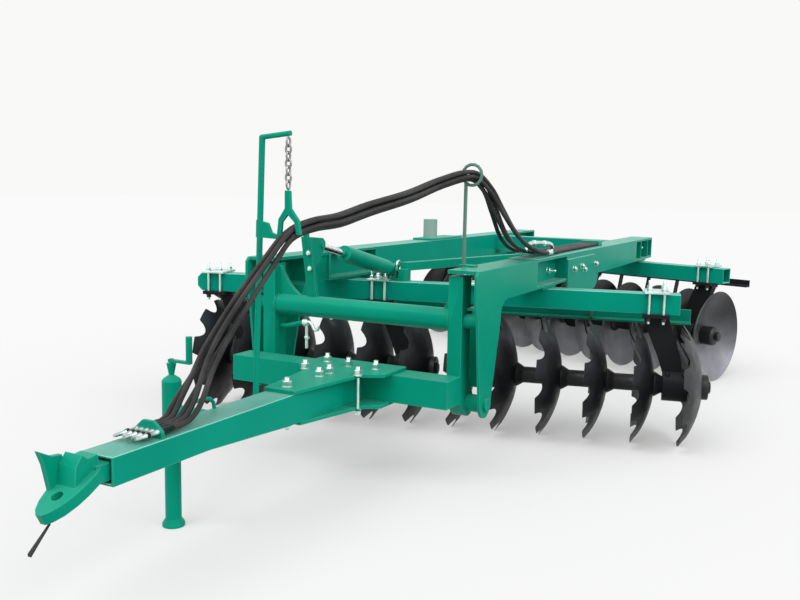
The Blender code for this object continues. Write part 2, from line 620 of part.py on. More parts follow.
# ---------------------------------------------------------------- hitch frame
def make_hitch_frame():
    beam_back = HITCH_FRONT_Y + HITCH_BEAM
    beam = box((FRAME_X - FRAME_HALF, HITCH_FRONT_Y, HITCH_LOW), (HITCH_NEAR_X, beam_back, HITCH_LOW + HITCH_HIGH))
    new_object("hitch_beam", beam, GREEN)
    pieces = []
    front = beam_back + FIT
    back = front + UPRIGHT_DEEP
    for side in (1, -1):
        outer = FRAME_X + side * UPRIGHT_OUT
        x0, x1 = sides(outer, outer - side * UPRIGHT_WIDE)
        foot = arc(PIVOT_Y, PIVOT_Z, PIVOT_EYE, 225, 360, 6)
        outline = [(front, UPRIGHT_TOP), (front, HITCH_LOW)] + foot + [(back, 0.460), (back, UPRIGHT_TOP)]
        pieces.append(prism(outline, "x", x0, x1))
        plate_face = FRAME_X + side * (FRAME_HALF - CHEEK_PLATE)
        pieces.append(rod((outer - side * 0.02, PIPE_Y, PIPE_Z), (plate_face - side * RUN, PIPE_Y, PIPE_Z), 0.032, 12))
        boss_end = plate_face - side * 2 * JOURNAL
        pieces.append(rod((outer - side * 0.02, PIVOT_Y, PIVOT_Z), (boss_end, PIVOT_Y, PIVOT_Z), PIVOT_BOSS, 12))
        pin_end = FRAME_X + side * (FRAME_HALF + 0.014)
        pieces.append(rod((boss_end - side * 0.01, PIVOT_Y, PIVOT_Z), (pin_end, PIVOT_Y, PIVOT_Z), PIVOT_PIN))
        web = side * (UPRIGHT_OUT - UPRIGHT_WIDE)
        flare = [(0.155, 0.030), (0.105, 0.055), (0.060, 0.095), (0.025, 0.150), (0.010, 0.180)]
        if side > 0:
            flare = [(0.060, 0.030), (0.035, 0.050), (0.015, 0.085), (0.008, 0.110)]
        outline = [(FRAME_X + web + side * 0.004, PIPE_Z - 0.02), (FRAME_X + web - side * flare[0][0], PIPE_Z - 0.02)]
        outline += [(FRAME_X + web - side * u, PIPE_Z + v) for u, v in flare]
        outline += [(FRAME_X + web + side * 0.004, PIPE_Z + flare[-1][1])]
        pieces.append(prism(outline, "y", PIPE_Y - 0.012, PIPE_Y + 0.012))
    reach = UPRIGHT_OUT - UPRIGHT_WIDE + 0.01
    pieces.append(rod((FRAME_X - reach, PIPE_Y, PIPE_Z), (FRAME_X + reach, PIPE_Y, PIPE_Z), PIPE_RADIUS, PIPE_SIDES))
    welded("hitch_uprights", pieces, GREEN)


def make_mast():
    """A leaning strap on the cross pipe, with two lugs behind it that hold the rod's pin."""
    y, z = MAST_PIN
    foot = PIPE_Z + PIPE_RADIUS * cos(pi / PIPE_SIDES) + FIT
    lug = [(-1.578, z - 0.090), (-1.545, z - 0.080), (y + 0.030, z - 0.012), (y + 0.030, z + 0.014),
           (y + 0.010, z + 0.032), (-1.600, z + 0.040)]
    pieces = []
    for side in (1, -1):
        inner = CYLINDER_X + side * MAST_HALF
        pieces.append(prism(lug, "x", *sides(inner, inner + side * MAST_PLATE)))
    wide = MAST_HALF + MAST_PLATE
    strap = [(-1.562, foot), (-1.544, foot), (-1.598, z + 0.040), (-1.616, z + 0.040)]
    pieces.append(prism(strap, "x", CYLINDER_X - wide + 0.001, CYLINDER_X + wide - 0.001))
    tip = [(-1.609, z), (-1.593, z), (-1.612, z + 0.086), (-1.628, z + 0.086)]
    pieces.append(prism(tip, "x", CYLINDER_X - 0.012, CYLINDER_X + 0.012))
    pieces.append(rod((CYLINDER_X - wide - 0.008, y, z), (CYLINDER_X + wide + 0.008, y, z), CYLINDER_PIN))
    welded("levelling_mast", pieces, GREEN)


def make_cylinder():
    y0, z0 = MAST_PIN
    y1, z1 = BEAM_PIN
    front, rear = Vector((CYLINDER_X, y0, z0)), Vector((CYLINDER_X, y1, z1))
    along = (front - rear).normalized()
    length = (front - rear).length
    eye = turned([(0, 0.036), (0.040, 0.036)], rear - Vector((0.020, 0, 0)), (1, 0, 0), 14)
    body_start = rear + along * 0.020
    body = turned([(0, 0.020), (0.050, 0.022), (0.062, CYLINDER_RADIUS), (length * 0.66, CYLINDER_RADIUS)],
                  body_start, along, 16)
    bore = hole(rear + along * 0.12, rear + along * (length * 0.66 + 0.1), ROD_RADIUS)
    pin_hole = hole(rear - Vector((0.05, 0, 0)), rear + Vector((0.05, 0, 0)), CYLINDER_PIN)
    welded("levelling_cylinder_barrel", [eye, body], GREEN, cutters=[bore, pin_hole], smooth=True)
    rod_eye = turned([(0, 0.032), (2 * EYE_HALF, 0.032)], front - Vector((EYE_HALF, 0, 0)), (1, 0, 0), 14)
    shaft = rod(front - along * 0.01, rear + along * 0.20, ROD_RADIUS, 12)
    eye_hole = hole(front - Vector((0.05, 0, 0)), front + Vector((0.05, 0, 0)), CYLINDER_PIN + EYE_SLACK)
    welded("levelling_cylinder_rod", [rod_eye, shaft], CHROME, cutters=[eye_hole], smooth=True)


def make_beam_bracket():
    """Lugs on the front gang beam that hold the barrel's pin."""
    y, z = BEAM_PIN
    pieces = [box((CYLINDER_X - 0.06, y - 0.06, BEAM_TOP + FIT), (CYLINDER_X + 0.06, y + 0.06, BEAM_TOP + FIT + 0.012))]
    for side in (1, -1):
        x = CYLINDER_X + side * 0.026
        outline = [(y - 0.045, BEAM_TOP + 0.005)] + [(y + 0.045, BEAM_TOP + 0.005)] + arc(y, z, 0.034, 0, 180, 6)
        pieces.append(prism(outline, "x", min(x, x + side * 0.010), max(x, x + side * 0.010)))
    pieces.append(rod((CYLINDER_X - 0.042, y, z), (CYLINDER_X + 0.042, y, z), CYLINDER_PIN))
    welded("levelling_bracket", pieces, GREEN)


def make_brace():
    """A bar from the front gang beam, beside the levelling bracket, back to the rear cross member."""
    x, y, turn = BRACE_START
    slope = sin(radians(turn)) / cos(radians(turn))
    rear = CROSS_Y - CROSS_DEEP / 2 - FIT
    half = BRACE_WIDE / 2 / cos(radians(turn))
    ends = [(x - half, y), (x + half, y), (x + (rear - y) * slope + half, rear), (x + (rear - y) * slope - half, rear)]
    bar = prism(ends, "z", BRACE_LOW, BRACE_LOW + BRACE_DEEP)
    foot = box((x - 0.012, y - 0.040, BEAM_TOP + FIT), (x + 0.026, y + 0.030, BRACE_LOW + 0.010))
    welded("diagonal_brace", [bar, foot], GREEN)


def make_drawbar():
    x0, x1 = DRAWBAR_X - DRAWBAR_WIDE / 2, DRAWBAR_X + DRAWBAR_WIDE / 2
    rear = HITCH_FRONT_Y - FIT
    outline = [(DRAWBAR_FRONT_Y, DRAWBAR_LOW), (-2.720, DRAWBAR_LOW), (-2.250, HITCH_LOW), (rear, HITCH_LOW),
               (rear, DRAWBAR_TOP), (DRAWBAR_FRONT_Y, DRAWBAR_TOP)]
    bar = prism(outline, "x", x0, x1)
    wall = DRAWBAR_WALL
    mouth = box((x0 + wall, DRAWBAR_FRONT_Y - 0.01, DRAWBAR_LOW + wall),
                (x1 - wall, DRAWBAR_FRONT_Y + 0.20, DRAWBAR_TOP - wall))
    pin = rod((x0 + 0.002, CLEVIS_Y, CLEVIS_Z), (x1 - 0.002, CLEVIS_Y, CLEVIS_Z), CLEVIS_PIN)
    welded("drawbar", [joined([bar], cutters=[mouth]), pin], GREEN)
    beam_top, beam_back = HITCH_LOW + HITCH_HIGH, HITCH_FRONT_Y + HITCH_BEAM
    # Columns: name, underside, tip's y, half widths at the tip, neck and wings.
    for name, low, nose, tip, neck, wing in (
            ("drawbar_top_plate", beam_top + FIT, -2.240, 0.070, 0.130, 0.215),
            ("drawbar_bottom_plate", HITCH_LOW - FIT - CLAMP_PLATE, -2.180, 0.060, 0.130, 0.200)):
        right = [(-wing, beam_back), (-wing, -1.790), (-neck, -1.840), (-tip, nose)]
        left = [(-x, y) for x, y in reversed(right)]
        outline = [(DRAWBAR_X + x, y) for x, y in right + left]
        welded(name, [prism(outline, "z", low, low + CLAMP_PLATE)], GREEN)


def make_clevis():
    """Knuckle on the cross pin, with a thick drooping tongue, its pin hole and an upright ear."""
    x0, x1 = DRAWBAR_X - CLEVIS_BLOCK, DRAWBAR_X + CLEVIS_BLOCK
    outline = arc(CLEVIS_Y, CLEVIS_Z, 0.027, -90, 90, 6) + [(-3.190, CLEVIS_Z + 0.027), (-3.190, CLEVIS_Z - 0.027)]
    block = prism(outline, "x", x0, x1)
    outline = [(-3.165, CLEVIS_Z + 0.020), (-3.172, 0.488), (-3.208, 0.484), (-3.228, 0.500), (-3.252, 0.470),
               (-3.258, 0.400), (-3.190, 0.396), (-3.165, CLEVIS_Z - 0.020)]
    knuckle = prism(outline, "x", DRAWBAR_X - CLEVIS_HALF, DRAWBAR_X + CLEVIS_HALF)
    outline = [(half, -along) for along, half in TONGUE_EDGE] + [(-half, -along) for along, half in reversed(TONGUE_EDGE)]
    droop = Matrix.Translation((DRAWBAR_X, *TONGUE_TOP)) @ Matrix.Rotation(radians(TONGUE_DROOP), 4, "X")
    tongue = place(prism(outline, "z", -TONGUE_THICK, 0), droop)
    outline = [(-3.215, 0.420), (-3.238, 0.494), (-3.272, 0.497), (-3.318, 0.522), (-3.300, 0.478), (-3.280, 0.390)]
    ear = prism(outline, "x", DRAWBAR_X - 0.052, DRAWBAR_X - 0.036)
    pin = hole((x0 - 0.1, CLEVIS_Y, CLEVIS_Z), (x1 + 0.1, CLEVIS_Y, CLEVIS_Z), CLEVIS_PIN)
    eye = rod(droop @ Vector((0, -TONGUE_HOLE, 0.05)), droop @ Vector((0, -TONGUE_HOLE, -TONGUE_THICK - 0.05)),
              TONGUE_HOLE_RADIUS, 16)
    welded("hitch_clevis", [block, knuckle, tongue, ear], GREEN, cutters=[pin, eye])


# ---------------------------------------------------------------- jack
def make_jack():
    face = DRAWBAR_X - DRAWBAR_WIDE / 2 - FIT
    height = JACK_TOP - JACK_TUBE_LOW
    tube = turned([(0, JACK_TUBE), (height - 0.01, JACK_TUBE), (height, JACK_TUBE - 0.008), (height + 0.012, 0.010),
                   (height + 0.055, 0.018)], (JACK_X, JACK_Y, JACK_TUBE_LOW), (0, 0, 1), 16)
    bore = rod((JACK_X, JACK_Y, JACK_TUBE_LOW - 0.01), (JACK_X, JACK_Y, JACK_TOP - 0.02), JACK_LEG + JOURNAL, 16)
    stub = rod((JACK_X + JACK_LEG + 0.003, JACK_Y, 0.430), (face, JACK_Y, 0.430), 0.032, 14)
    welded("jack_tube", [tube, stub], GREEN, cutters=[bore], smooth=True)
    foot_low = 0.012
    leg = rod((JACK_X, JACK_Y, foot_low - 0.002), (JACK_X, JACK_Y, JACK_TUBE_LOW + JACK_HELD), JACK_LEG, 16)
    foot = turned([(0, JACK_FOOT), (foot_low, JACK_FOOT), (foot_low + 0.018, JACK_LEG)], (JACK_X, JACK_Y, 0), (0, 0, 1), 16)
    welded("jack_leg", [foot, leg], GREEN, smooth=True)
    cap = JACK_TOP + 0.055 + FIT
    shaft = rod((JACK_X, JACK_Y, cap), (JACK_X, JACK_Y, cap + 0.016), 0.009, 8)
    arm = box((JACK_X - 0.010, JACK_Y - 0.008, cap + 0.004), (JACK_X + 0.092, JACK_Y + 0.008, cap + 0.014))
    grip = rod((JACK_X + 0.084, JACK_Y, cap + 0.008), (JACK_X + 0.084, JACK_Y, cap + 0.105), 0.012, 10)
    welded("jack_crank", [shaft, arm, grip], GREEN)


# ---------------------------------------------------------------- hose supports
def make_hose_supports():
    """A pole with a chain and a wishbone over the drawbar, and a ring on a stem on the left leg."""
    y = HOSE_POLE_Y
    side = DRAWBAR_X - DRAWBAR_WIDE / 2 - FIT
    top = Vector((side + 0.018, y, 1.440))
    elbow = Vector((HOSE_YOKE_X + 0.010, y, 1.450))
    pole = rod((side - 0.016, y, 0.400), top, 0.012, 10)
    foot = box((side - 0.012, y - 0.030, 0.392), (side, y + 0.030, 0.470))
    arm = rod(top - Vector((0.006, 0, 0.004)), elbow, 0.010, 8)
    leg = HOSE_YOKE_X - 0.048 - FIT
    tab = prism([(side - 0.008, 1.070), (leg, 1.066), (leg, 1.082), (side + 0.062, 1.090),
                 (side + 0.046, 1.124), (side - 0.006, 1.134)], "y", y - 0.006, y + 0.006)
    welded("hose_pole", [pole, foot, arm, tab], GREEN)

    x = HOSE_YOKE_X
    outline = [(x - 0.012, 1.245), (x - 0.012, 1.180), (x - 0.040, 1.140), (x - 0.048, 1.070), (x - 0.030, 1.070),
               (x - 0.024, 1.130), (x, 1.158), (x + 0.030, 1.130), (x + 0.040, 1.085), (x + 0.058, 1.085),
               (x + 0.048, 1.138), (x + 0.014, 1.180), (x + 0.010, 1.245)]
    welded("hose_wishbone", [prism(outline, "y", y - 0.007, y + 0.007)], GREEN)

    links = []
    first, last = 1.245 + FIT, elbow.z - 0.011 - FIT
    wire = 0.0045
    pitch = (last - first - 2 * wire) / (CHAIN_LINKS + 0.24)
    for k in range(CHAIN_LINKS):
        middle = Vector((x, y, first + wire + pitch * (k + 0.62)))
        links.append(chain_link(middle, pitch * 0.62, 0.011, wire, k % 2 == 0))
    ends = [box((x - 0.004, y - 0.004, first), (x + 0.004, y + 0.004, first + 0.010)),
            box((x - 0.004, y - 0.004, last - 0.010), (x + 0.004, y + 0.004, last))]
    welded("hose_chain", links + ends, STEEL)

    base = CHEEK_TOP + FIT
    ring = Vector(HOSE_RING)
    stem = rod((ring.x - 0.028, ring.y, base), (ring.x - 0.028, ring.y, ring.z - 0.030), 0.008, 8)
    foot = box((ring.x - 0.042, ring.y - 0.020, base), (ring.x + 0.030, ring.y + 0.020, base + 0.008))
    welded("hose_ring", [torus(ring, 0.045, 0.007, 14, 6), stem, foot], GREEN)


def chain_link(middle, half_long, half_wide, thick, crosswise):
    """One oval link that stands along Z, in the XZ plane or across it."""
    turns, sides_round = 8, 4
    points = []
    for k in range(turns):
        a = 2 * pi * k / turns
        out = Vector((cos(a), 0, sin(a)))
        centre = Vector((half_wide * cos(a), 0, half_long * sin(a)))
        for j in range(sides_round):
            b = 2 * pi * j / sides_round
            p = centre + out * (thick * cos(b)) + Vector((0, thick * sin(b), 0))
            points.append(middle + (Vector((p.y, p.x, p.z)) if crosswise else p))
    faces = []
    for k in range(turns):
        for j in range(sides_round):
            n, m = (k + 1) % turns, (j + 1) % sides_round
            faces.append((k * sides_round + j, n * sides_round + j, n * sides_round + m, k * sides_round + m))
    return shape(points, faces)


def torus(centre, radius, thick, turns, sides):
    """A ring that stands in the XZ plane."""
    points = []
    for k in range(turns):
        a = 2 * pi * k / turns
        for j in range(sides):
            b = 2 * pi * j / sides
            r = radius + thick * cos(b)
            points.append((centre[0] + r * cos(a), centre[1] + thick * sin(b), centre[2] + r * sin(a)))
    faces = []
    for k in range(turns):
        for j in range(sides):
            n, m = (k + 1) % turns, (j + 1) % sides
            faces.append((k * sides + j, n * sides + j, n * sides + m, k * sides + m))
    return shape(points, faces)


# ---------------------------------------------------------------- hoses
def lane(number, share):
    """A hose's place in the bundle, across and above its middle: share 0 side by side, 1 in a round."""
    angle = radians((198, 126, 270, 54, 342)[number])
    row = ((number - 2) * HOSE_SPACING, 0.0)
    bundle = (HOSE_BUNDLE * cos(angle), HOSE_BUNDLE * sin(angle))
    return tuple(a + (b - a) * share for a, b in zip(row, bundle))


def hose_points(number):
    """The hose's own line: the route's smooth curve, moved to the hose's lane."""
    route = [Vector(place) for place, _, _, _ in HOSE_ROUTE]
    shares = [share for _, share, _, _ in HOSE_ROUTE]
    spreads = [spread for _, _, spread, _ in HOSE_ROUTE]
    points = []
    for k in range(len(route) - 1):
        before = route[max(k - 1, 0)]
        a, b = route[k], route[k + 1]
        after = route[min(k + 2, len(route) - 1)]
        steps = HOSE_ROUTE[k][3]
        last = k == len(route) - 2
        for step in range(steps + 1 if last else steps):
            t = step / steps
            place = 0.5 * (2 * a + (b - before) * t + (2 * before - 5 * a + 4 * b - after) * t ** 2
                           + (3 * a - before - 3 * b + after) * t ** 3)
            along = 0.5 * ((b - before) + 2 * (2 * before - 5 * a + 4 * b - after) * t
                           + 3 * (3 * a - before - 3 * b + after) * t ** 2)
            share = shares[k] + (shares[k + 1] - shares[k]) * t
            spread = spreads[k] + (spreads[k + 1] - spreads[k]) * t
            across = along.cross(Vector((0, 0, 1))).normalized()
            above = across.cross(along).normalized()
            u, v = lane(number, share)
            points.append(place + (across * u + above * v) * spread)
    return points


def make_hoses():
    for number in range(HOSES):
        curve = bpy.data.curves.new(f"hose_{number + 1}", "CURVE")
        curve.dimensions = "3D"
        line = hose_points(number)
        spline = curve.splines.new("POLY")
        spline.points.add(len(line) - 1)
        for point, place in zip(spline.points, line):
            point.co = (*place, 1)
        curve.bevel_depth = HOSE_RADIUS
        curve.bevel_resolution = 2
        curve.use_fill_caps = True
        curve.materials.append(paint(RUBBER))
        item = bpy.data.objects.new(f"hose_{number + 1}", curve)
        bpy.context.collection.objects.link(item)
        item.parent = HARROW


def make_hose_ends():
    """The rack that parks the hoses' couplings on the drawbar, and the block that they feed on the frame."""
    start, end = Vector(HOSE_ROUTE[0][0]), Vector(HOSE_ROUTE[-1][0])
    half = HOSE_SPACING * 2 + 0.016
    rack_y = start.y - 0.060
    base = DRAWBAR_TOP + FIT
    outline = [(start.x - half, base), (start.x + half, base), (start.x + half, start.z), (start.x + 0.022, start.z + 0.031),
               (start.x - 0.022, start.z + 0.031), (start.x - half, start.z)]
    plate = prism(outline, "y", rack_y - 0.006, rack_y + 0.006)
    couplings = [rod((start.x + lane(n, 0)[0], start.y - 0.165, start.z), (start.x + lane(n, 0)[0], start.y - FIT, start.z),
                     0.0100, 8) for n in range(HOSES)]
    welded("hose_rack", [plate] + couplings, GREEN)
    block = box((end.x - half, end.y + FIT, RAIL_TOP + FIT), (end.x + half, end.y + 0.070, end.z + 0.018))
    welded("hose_block", [block], GREEN)


def make_socket():
    x, y = FRAME_X - FRAME_HALF + RAIL / 2, SOCKET_Y
    base = RAIL_TOP + FIT
    flange = box((x - 0.07, y - 0.11, base), (x + 0.07, y + 0.35, base + 0.012))
    tube = rod((x, y, base + 0.010), (x, y, base + 0.130), 0.045, 16)
    hole = rod((x, y, base + 0.030), (x, y, base + 0.150), 0.038, 14)
    welded("stand_socket", [flange, tube], GREEN, cutters=[hole])


HARROW = None


def main():
    global HARROW
    clear_scene()
    HARROW = bpy.data.objects.new("harrow", None)
    bpy.context.collection.objects.link(HARROW)
    HARROW.location = (-ORIGIN_X, -ORIGIN_Y, 0)
    make_gangs()
    make_beams()
    make_hangers()
    make_scrapers()
    make_rails()
    make_legs()
    make_cross_members()
    make_hitch_frame()
    make_mast()
    make_cylinder()
    make_beam_bracket()
    make_brace()
    make_drawbar()
    make_clevis()
    make_jack()
    make_hose_supports()
    make_hoses()
    make_hose_ends()
    make_socket()
    bpy.context.view_layer.update()


main()
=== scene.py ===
"""Looks of the offset disc harrow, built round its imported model.

Metres, +Z up, -Y the way it is towed.  Places are written in machine coordinates, as
the part's source has them, and at() moves them to the model's frame.
"""

import json
from collections import namedtuple
from math import cos, pi, radians, sin, sqrt

import bmesh
import bpy
from mathutils import Matrix, Vector


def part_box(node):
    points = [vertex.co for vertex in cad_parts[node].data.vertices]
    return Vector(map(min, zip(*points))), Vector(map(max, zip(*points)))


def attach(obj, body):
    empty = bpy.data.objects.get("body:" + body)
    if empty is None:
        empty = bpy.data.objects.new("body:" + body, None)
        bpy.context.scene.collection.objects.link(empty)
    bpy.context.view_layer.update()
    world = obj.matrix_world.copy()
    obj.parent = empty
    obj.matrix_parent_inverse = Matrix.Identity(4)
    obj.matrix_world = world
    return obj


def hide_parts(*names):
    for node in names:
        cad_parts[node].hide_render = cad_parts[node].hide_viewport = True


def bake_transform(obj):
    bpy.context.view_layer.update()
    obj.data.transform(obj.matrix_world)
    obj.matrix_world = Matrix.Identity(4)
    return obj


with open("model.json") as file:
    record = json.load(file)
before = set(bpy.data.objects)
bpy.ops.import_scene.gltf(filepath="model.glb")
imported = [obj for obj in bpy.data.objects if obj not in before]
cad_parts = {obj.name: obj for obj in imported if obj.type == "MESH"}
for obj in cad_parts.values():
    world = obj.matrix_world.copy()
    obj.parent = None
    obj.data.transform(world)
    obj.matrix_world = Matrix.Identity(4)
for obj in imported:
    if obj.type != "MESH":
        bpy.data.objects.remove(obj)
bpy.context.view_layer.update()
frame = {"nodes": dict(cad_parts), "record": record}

UP = Vector((0, 0, 1))
HITCH_FRONT_Y = -1.725             # machine coordinate of the hitch beam's front face
DRAWBAR_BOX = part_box("drawbar")
SHIFT = Vector(((DRAWBAR_BOX[0][0] + DRAWBAR_BOX[1][0]) / 2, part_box("hitch_beam")[0][1] - HITCH_FRONT_Y, 0))


def at(x, y, z):
    """A point in the model's frame from machine coordinates."""
    return Vector((x, y, z)) + SHIFT


def box_of(node):
    """A node's lowest and highest corners in machine coordinates."""
    low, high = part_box(node)
    return Vector(low) - SHIFT, Vector(high) - SHIFT


# ---------------------------------------------------------------- sizes and places
# Camera and floor; angles in degrees.
CAMERA_AT = (1.936, -4.941, 1.269)
CAMERA_YAW, CAMERA_PITCH, CAMERA_ROLL = 27.565, 7.507, 1.129
SENSOR = 36.0                      # millimetres, as the lens
LENS = 39.6
LENS_SHIFT = (-0.003125, 0.0025)   # shares of the sensor's width
FLOOR_HALF = 60.0
FLOOR_GLOW = 0.375

# Colours of the light dust and painted sheen on the tops of painted parts, and of the painted highlight along
# their rounded rims.
DUST_AND_SHEEN = (0.42, 0.58, 0.55, 1)
RIM_HIGHLIGHT = (0.36, 0.86, 0.76, 1)

# Discs and gangs.
DISC_RADIUS = 0.305
DISC_DEPTH = 0.100
DISC_THICK = 0.006
DISC_EDGE = 0.0022                 # thickness of the ground rim
GROUND_FROM = 0.93                 # share of the way from hub to rim where the grinding begins
DISC_PITCH = 0.230
PER_SECTION = 6
NOTCHES = 10
NOTCH_DEPTH = 0.046
NOTCH_SHAPE = 0.62                 # at 0.5 a notch is half an ellipse, at 1 a parabola
HUB = 0.062
SPOOL = 0.042
BELL_LENGTH = 0.095
END_WASHER = 0.026
GANG_BEAM = 0.100
BEAM_TOP = box_of("front_gang_beam")[1].z

# yaw is in degrees; hollow is the end that the hollow faces look to, 1 the left and -1 the right.
Gang = namedtuple("Gang", "name x y yaw hollow notched beam_ahead")
GANGS = [
    Gang("front", -0.050, -0.750, 13.0, -1, True, 0.020),
    Gang("rear", -0.100, 1.626, -18.4, 1, False, 0.000),
]
# Columns: the two discs that a bearing runs between, the clamp's shift on the front and rear gang.
HANGERS = [(1, 2, 0.195, 0.125), (5, 6, 0.165, 0.125), (7, 8, 0.125, 0.125), (11, 12, 0.125, 0.125)]

# Hoses, from the couplings' rack to the block on the left rail.
HOSES = 5
HOSE_RADIUS = 0.0095
HOSE_SIDES = 14
HOSE_SPACING = 0.021
HOSE_BUNDLE = 0.0175
BUNDLE_ANGLES = (198, 126, 270, 54, 342)
STRETCH_STEPS = 5                  # a hose's points to each stretch of the route
WRAP_ALONG, WRAP_ROUND = 2.0, 0.1  # texture turns to a metre of hose, and round it
# Columns: point, share of the round bundle, how far the hoses spread from the middle.
HOSE_ROUTE = [
    ((0.000, -2.870, 0.497), 0.0, 1.0), ((0.000, -2.850, 0.497), 0.0, 1.0),
    ((0.000, -2.830, 0.497), 0.0, 1.0), ((-0.005, -2.780, 0.512), 0.1, 1.2),
    ((-0.020, -2.700, 0.575), 0.4, 1.5), ((-0.008, -2.620, 0.692), 0.8, 1.7),
    ((0.026, -2.500, 0.848), 1.0, 1.6), ((0.052, -2.385, 0.975), 1.0, 1.3),
    ((0.075, -2.280, 1.080), 1.0, 1.0), ((0.113, -2.180, 1.120), 1.0, 1.1),
    ((0.161, -2.069, 1.138), 1.0, 1.2), ((0.217, -1.935, 1.180), 1.0, 1.2),
    ((0.290, -1.750, 1.228), 1.0, 1.1), ((0.360, -1.580, 1.288), 1.0, 1.0),
    ((0.420, -1.420, 1.320), 1.0, 1.0), ((0.462, -1.340, 1.262), 1.0, 1.1),
    ((0.482, -1.250, 1.160), 0.9, 1.5), ((0.485, -1.110, 1.055), 0.7, 1.9),
    ((0.470, -0.900, 0.985), 0.3, 1.8), ((0.458, -0.650, 0.948), 0.0, 1.5),
    ((0.452, -0.300, 0.9415), 0.0, 1.1), ((0.452, 0.360, 0.9415), 0.0, 1.0),
]

# The chain that holds the hoses' yoke.
CHAIN_LINKS = 7
LINK_WIRE = 0.0042                 # radius of the links' wire
LINK_WIDE = 0.011                  # from a link's middle to its wire's middle, across
LINK_LONG = 0.62                   # the same lengthwise, as a share of the links' pitch

# Bolts, and the clamps that hold the hangers to their beams.
STUD_RADIUS = 0.0075
THREAD_PITCH = 0.0035
CLAMP_REACH = 0.035                # from a clamp's middle to its studs, along the beam
CLAMP_TOP = 0.0125                 # the top plate's upper face over the beam
CLAMP_PLATE = 0.012
CLAMP_UNDER = 0.0185               # the lower nuts' faces under the beam
# Places, x and y, of the bolts on the drawbar's plates and of the studs that run from plate to plate.
PLATE_BOLTS = ((0.004, -2.190), (-0.130, -1.867), (-0.130, -1.690), (0.004, -1.964), (0.007, -1.891),
               (-0.002, -1.723), (0.130, -1.865), (0.130, -1.715))
LONG_STUDS = ((-0.130, -1.865), (0.130, -1.865))

# Rails.
RAIL_FACE = box_of("left_front_leg")[1].x           # the left rail's outer face
FRAME_X = (RAIL_FACE + box_of("right_front_leg")[0].x) / 2
SADDLE_DEEP = 0.067                # from a rail's outer face to the wall inside its open saddles
RIGHT_FRONT = -0.2355              # from the left rail's saddles to the right rail's, along the machine
RIGHT_REAR = 0.3430
GUSSET_THICK = 0.010
# Places, y and z, on the left rail; the ribs' places are y.
GUSSET_BOLTS = ((-0.321, 0.844), (-0.175, 0.850), (-0.125, 0.828), (0.107, 0.844))
FRONT_SADDLE_BOLT = (-0.535, 0.847)
REAR_SADDLE_BOLT = (1.440, 0.865)
SADDLE_RIBS = (1.330, 1.540)
RIB_Z = 0.856

# Small hardware.
COUPLING_REACH = (0.165, 0.150, 0.165, 0.155, 0.162)   # how far each one stands out before the rack
LOOP_Y = -2.620
SLEEVE_RING = 93                   # the sleeves begin at this point of a hose, or up to four points on
PIPE_RADIUS = 0.049
PIPE_Y, PIPE_Z = -1.550, 0.708
PIPE_ENDS = (-0.485, 0.405)

# The cut along the edges of the CAD pieces that stay.
EDGE_CUT = 0.0024
EDGE_ANGLE = 38                    # degrees: edges sharper than this are cut


# ---------------------------------------------------------------- node trees
class Tree:
    """The node tree of a material or world, with short calls for the nodes that repeat."""

    def __init__(self, owner):
        owner.use_nodes = True
        self.nodes = owner.node_tree.nodes
        self.links = owner.node_tree.links

    def fill(self, node, inputs):
        """Set a node's inputs: a socket is linked, anything else becomes the input's value."""
        for place, value in inputs.items():
            if isinstance(value, bpy.types.NodeSocket):
                self.links.new(value, node.inputs[place])
            else:
                node.inputs[place].default_value = value

    def add(self, kind, inputs=None, **settings):
        """Make a node of a kind with its settings and inputs, and give its outputs."""
        node = self.nodes.new("ShaderNode" + kind)
        for setting, value in settings.items():
            setattr(node, setting, value)
        self.fill(node, inputs or {})
        return node.outputs

    def math(self, operation, a, b):
        return self.add("Math", {0: a, 1: b}, operation=operation)[0]

    def stretched(self, source, low, high, to_low, to_high):
        """low to high becomes to_low to to_high, and holds its ends' values beyond them."""
        inputs = {"Value": source, "From Min": low, "From Max": high, "To Min": to_low, "To Max": to_high}
        return self.add("MapRange", inputs)[0]

    def mixed(self, share, a, b, mode="MIX"):
        return self.add("Mix", {"Factor": share, "A": a, "B": b}, data_type="RGBA", blend_type=mode)["Result"]

    def height(self, direction):
        """The upward part of a direction, 1 where it points straight up."""
        return self.add("SeparateXYZ", {0: direction})["Z"]

    def noise(self, scale, detail):
        """A noise texture in the object's own coordinates."""
        where = self.add("TexCoord")["Object"]
        inputs = {"Vector": where, "Scale": scale, "Detail": detail, "Roughness": 0.55}
        return self.add("TexNoise", inputs)["Fac"]

    def ramp(self, source, *stops):
        """Stops are (position, colour) pairs, where a bare number is a grey."""
        node = self.nodes.new("ShaderNodeValToRGB")
        elements = node.color_ramp.elements
        while len(elements) < len(stops):
            elements.new(0.5)
        for element, (place, colour) in zip(elements, stops):
            element.position = place
            element.color = (*(colour if isinstance(colour, tuple) else (colour,) * 3), 1)
        self.links.new(source, node.inputs[0])
        return node.outputs[0]

    def bump(self, source, strength, depth):
        return self.add("Bump", {"Strength": strength, "Distance": depth, "Height": source})[0]


def new_material(name):
    """A material, its tree and its surface shader."""
    material = bpy.data.materials.new(name)
    tree = Tree(material)
    return material, tree, tree.nodes["Principled BSDF"]


def watched_rays(tree):
    """1 for the camera's rays and for those that metal and glass send on, 0 for rays that light things."""
    rays = tree.add("LightPath")
    sent_on = tree.math("MAXIMUM", rays["Is Glossy Ray"], rays["Is Transmission Ray"])
    return tree.math("MAXIMUM", rays["Is Camera Ray"], sent_on)


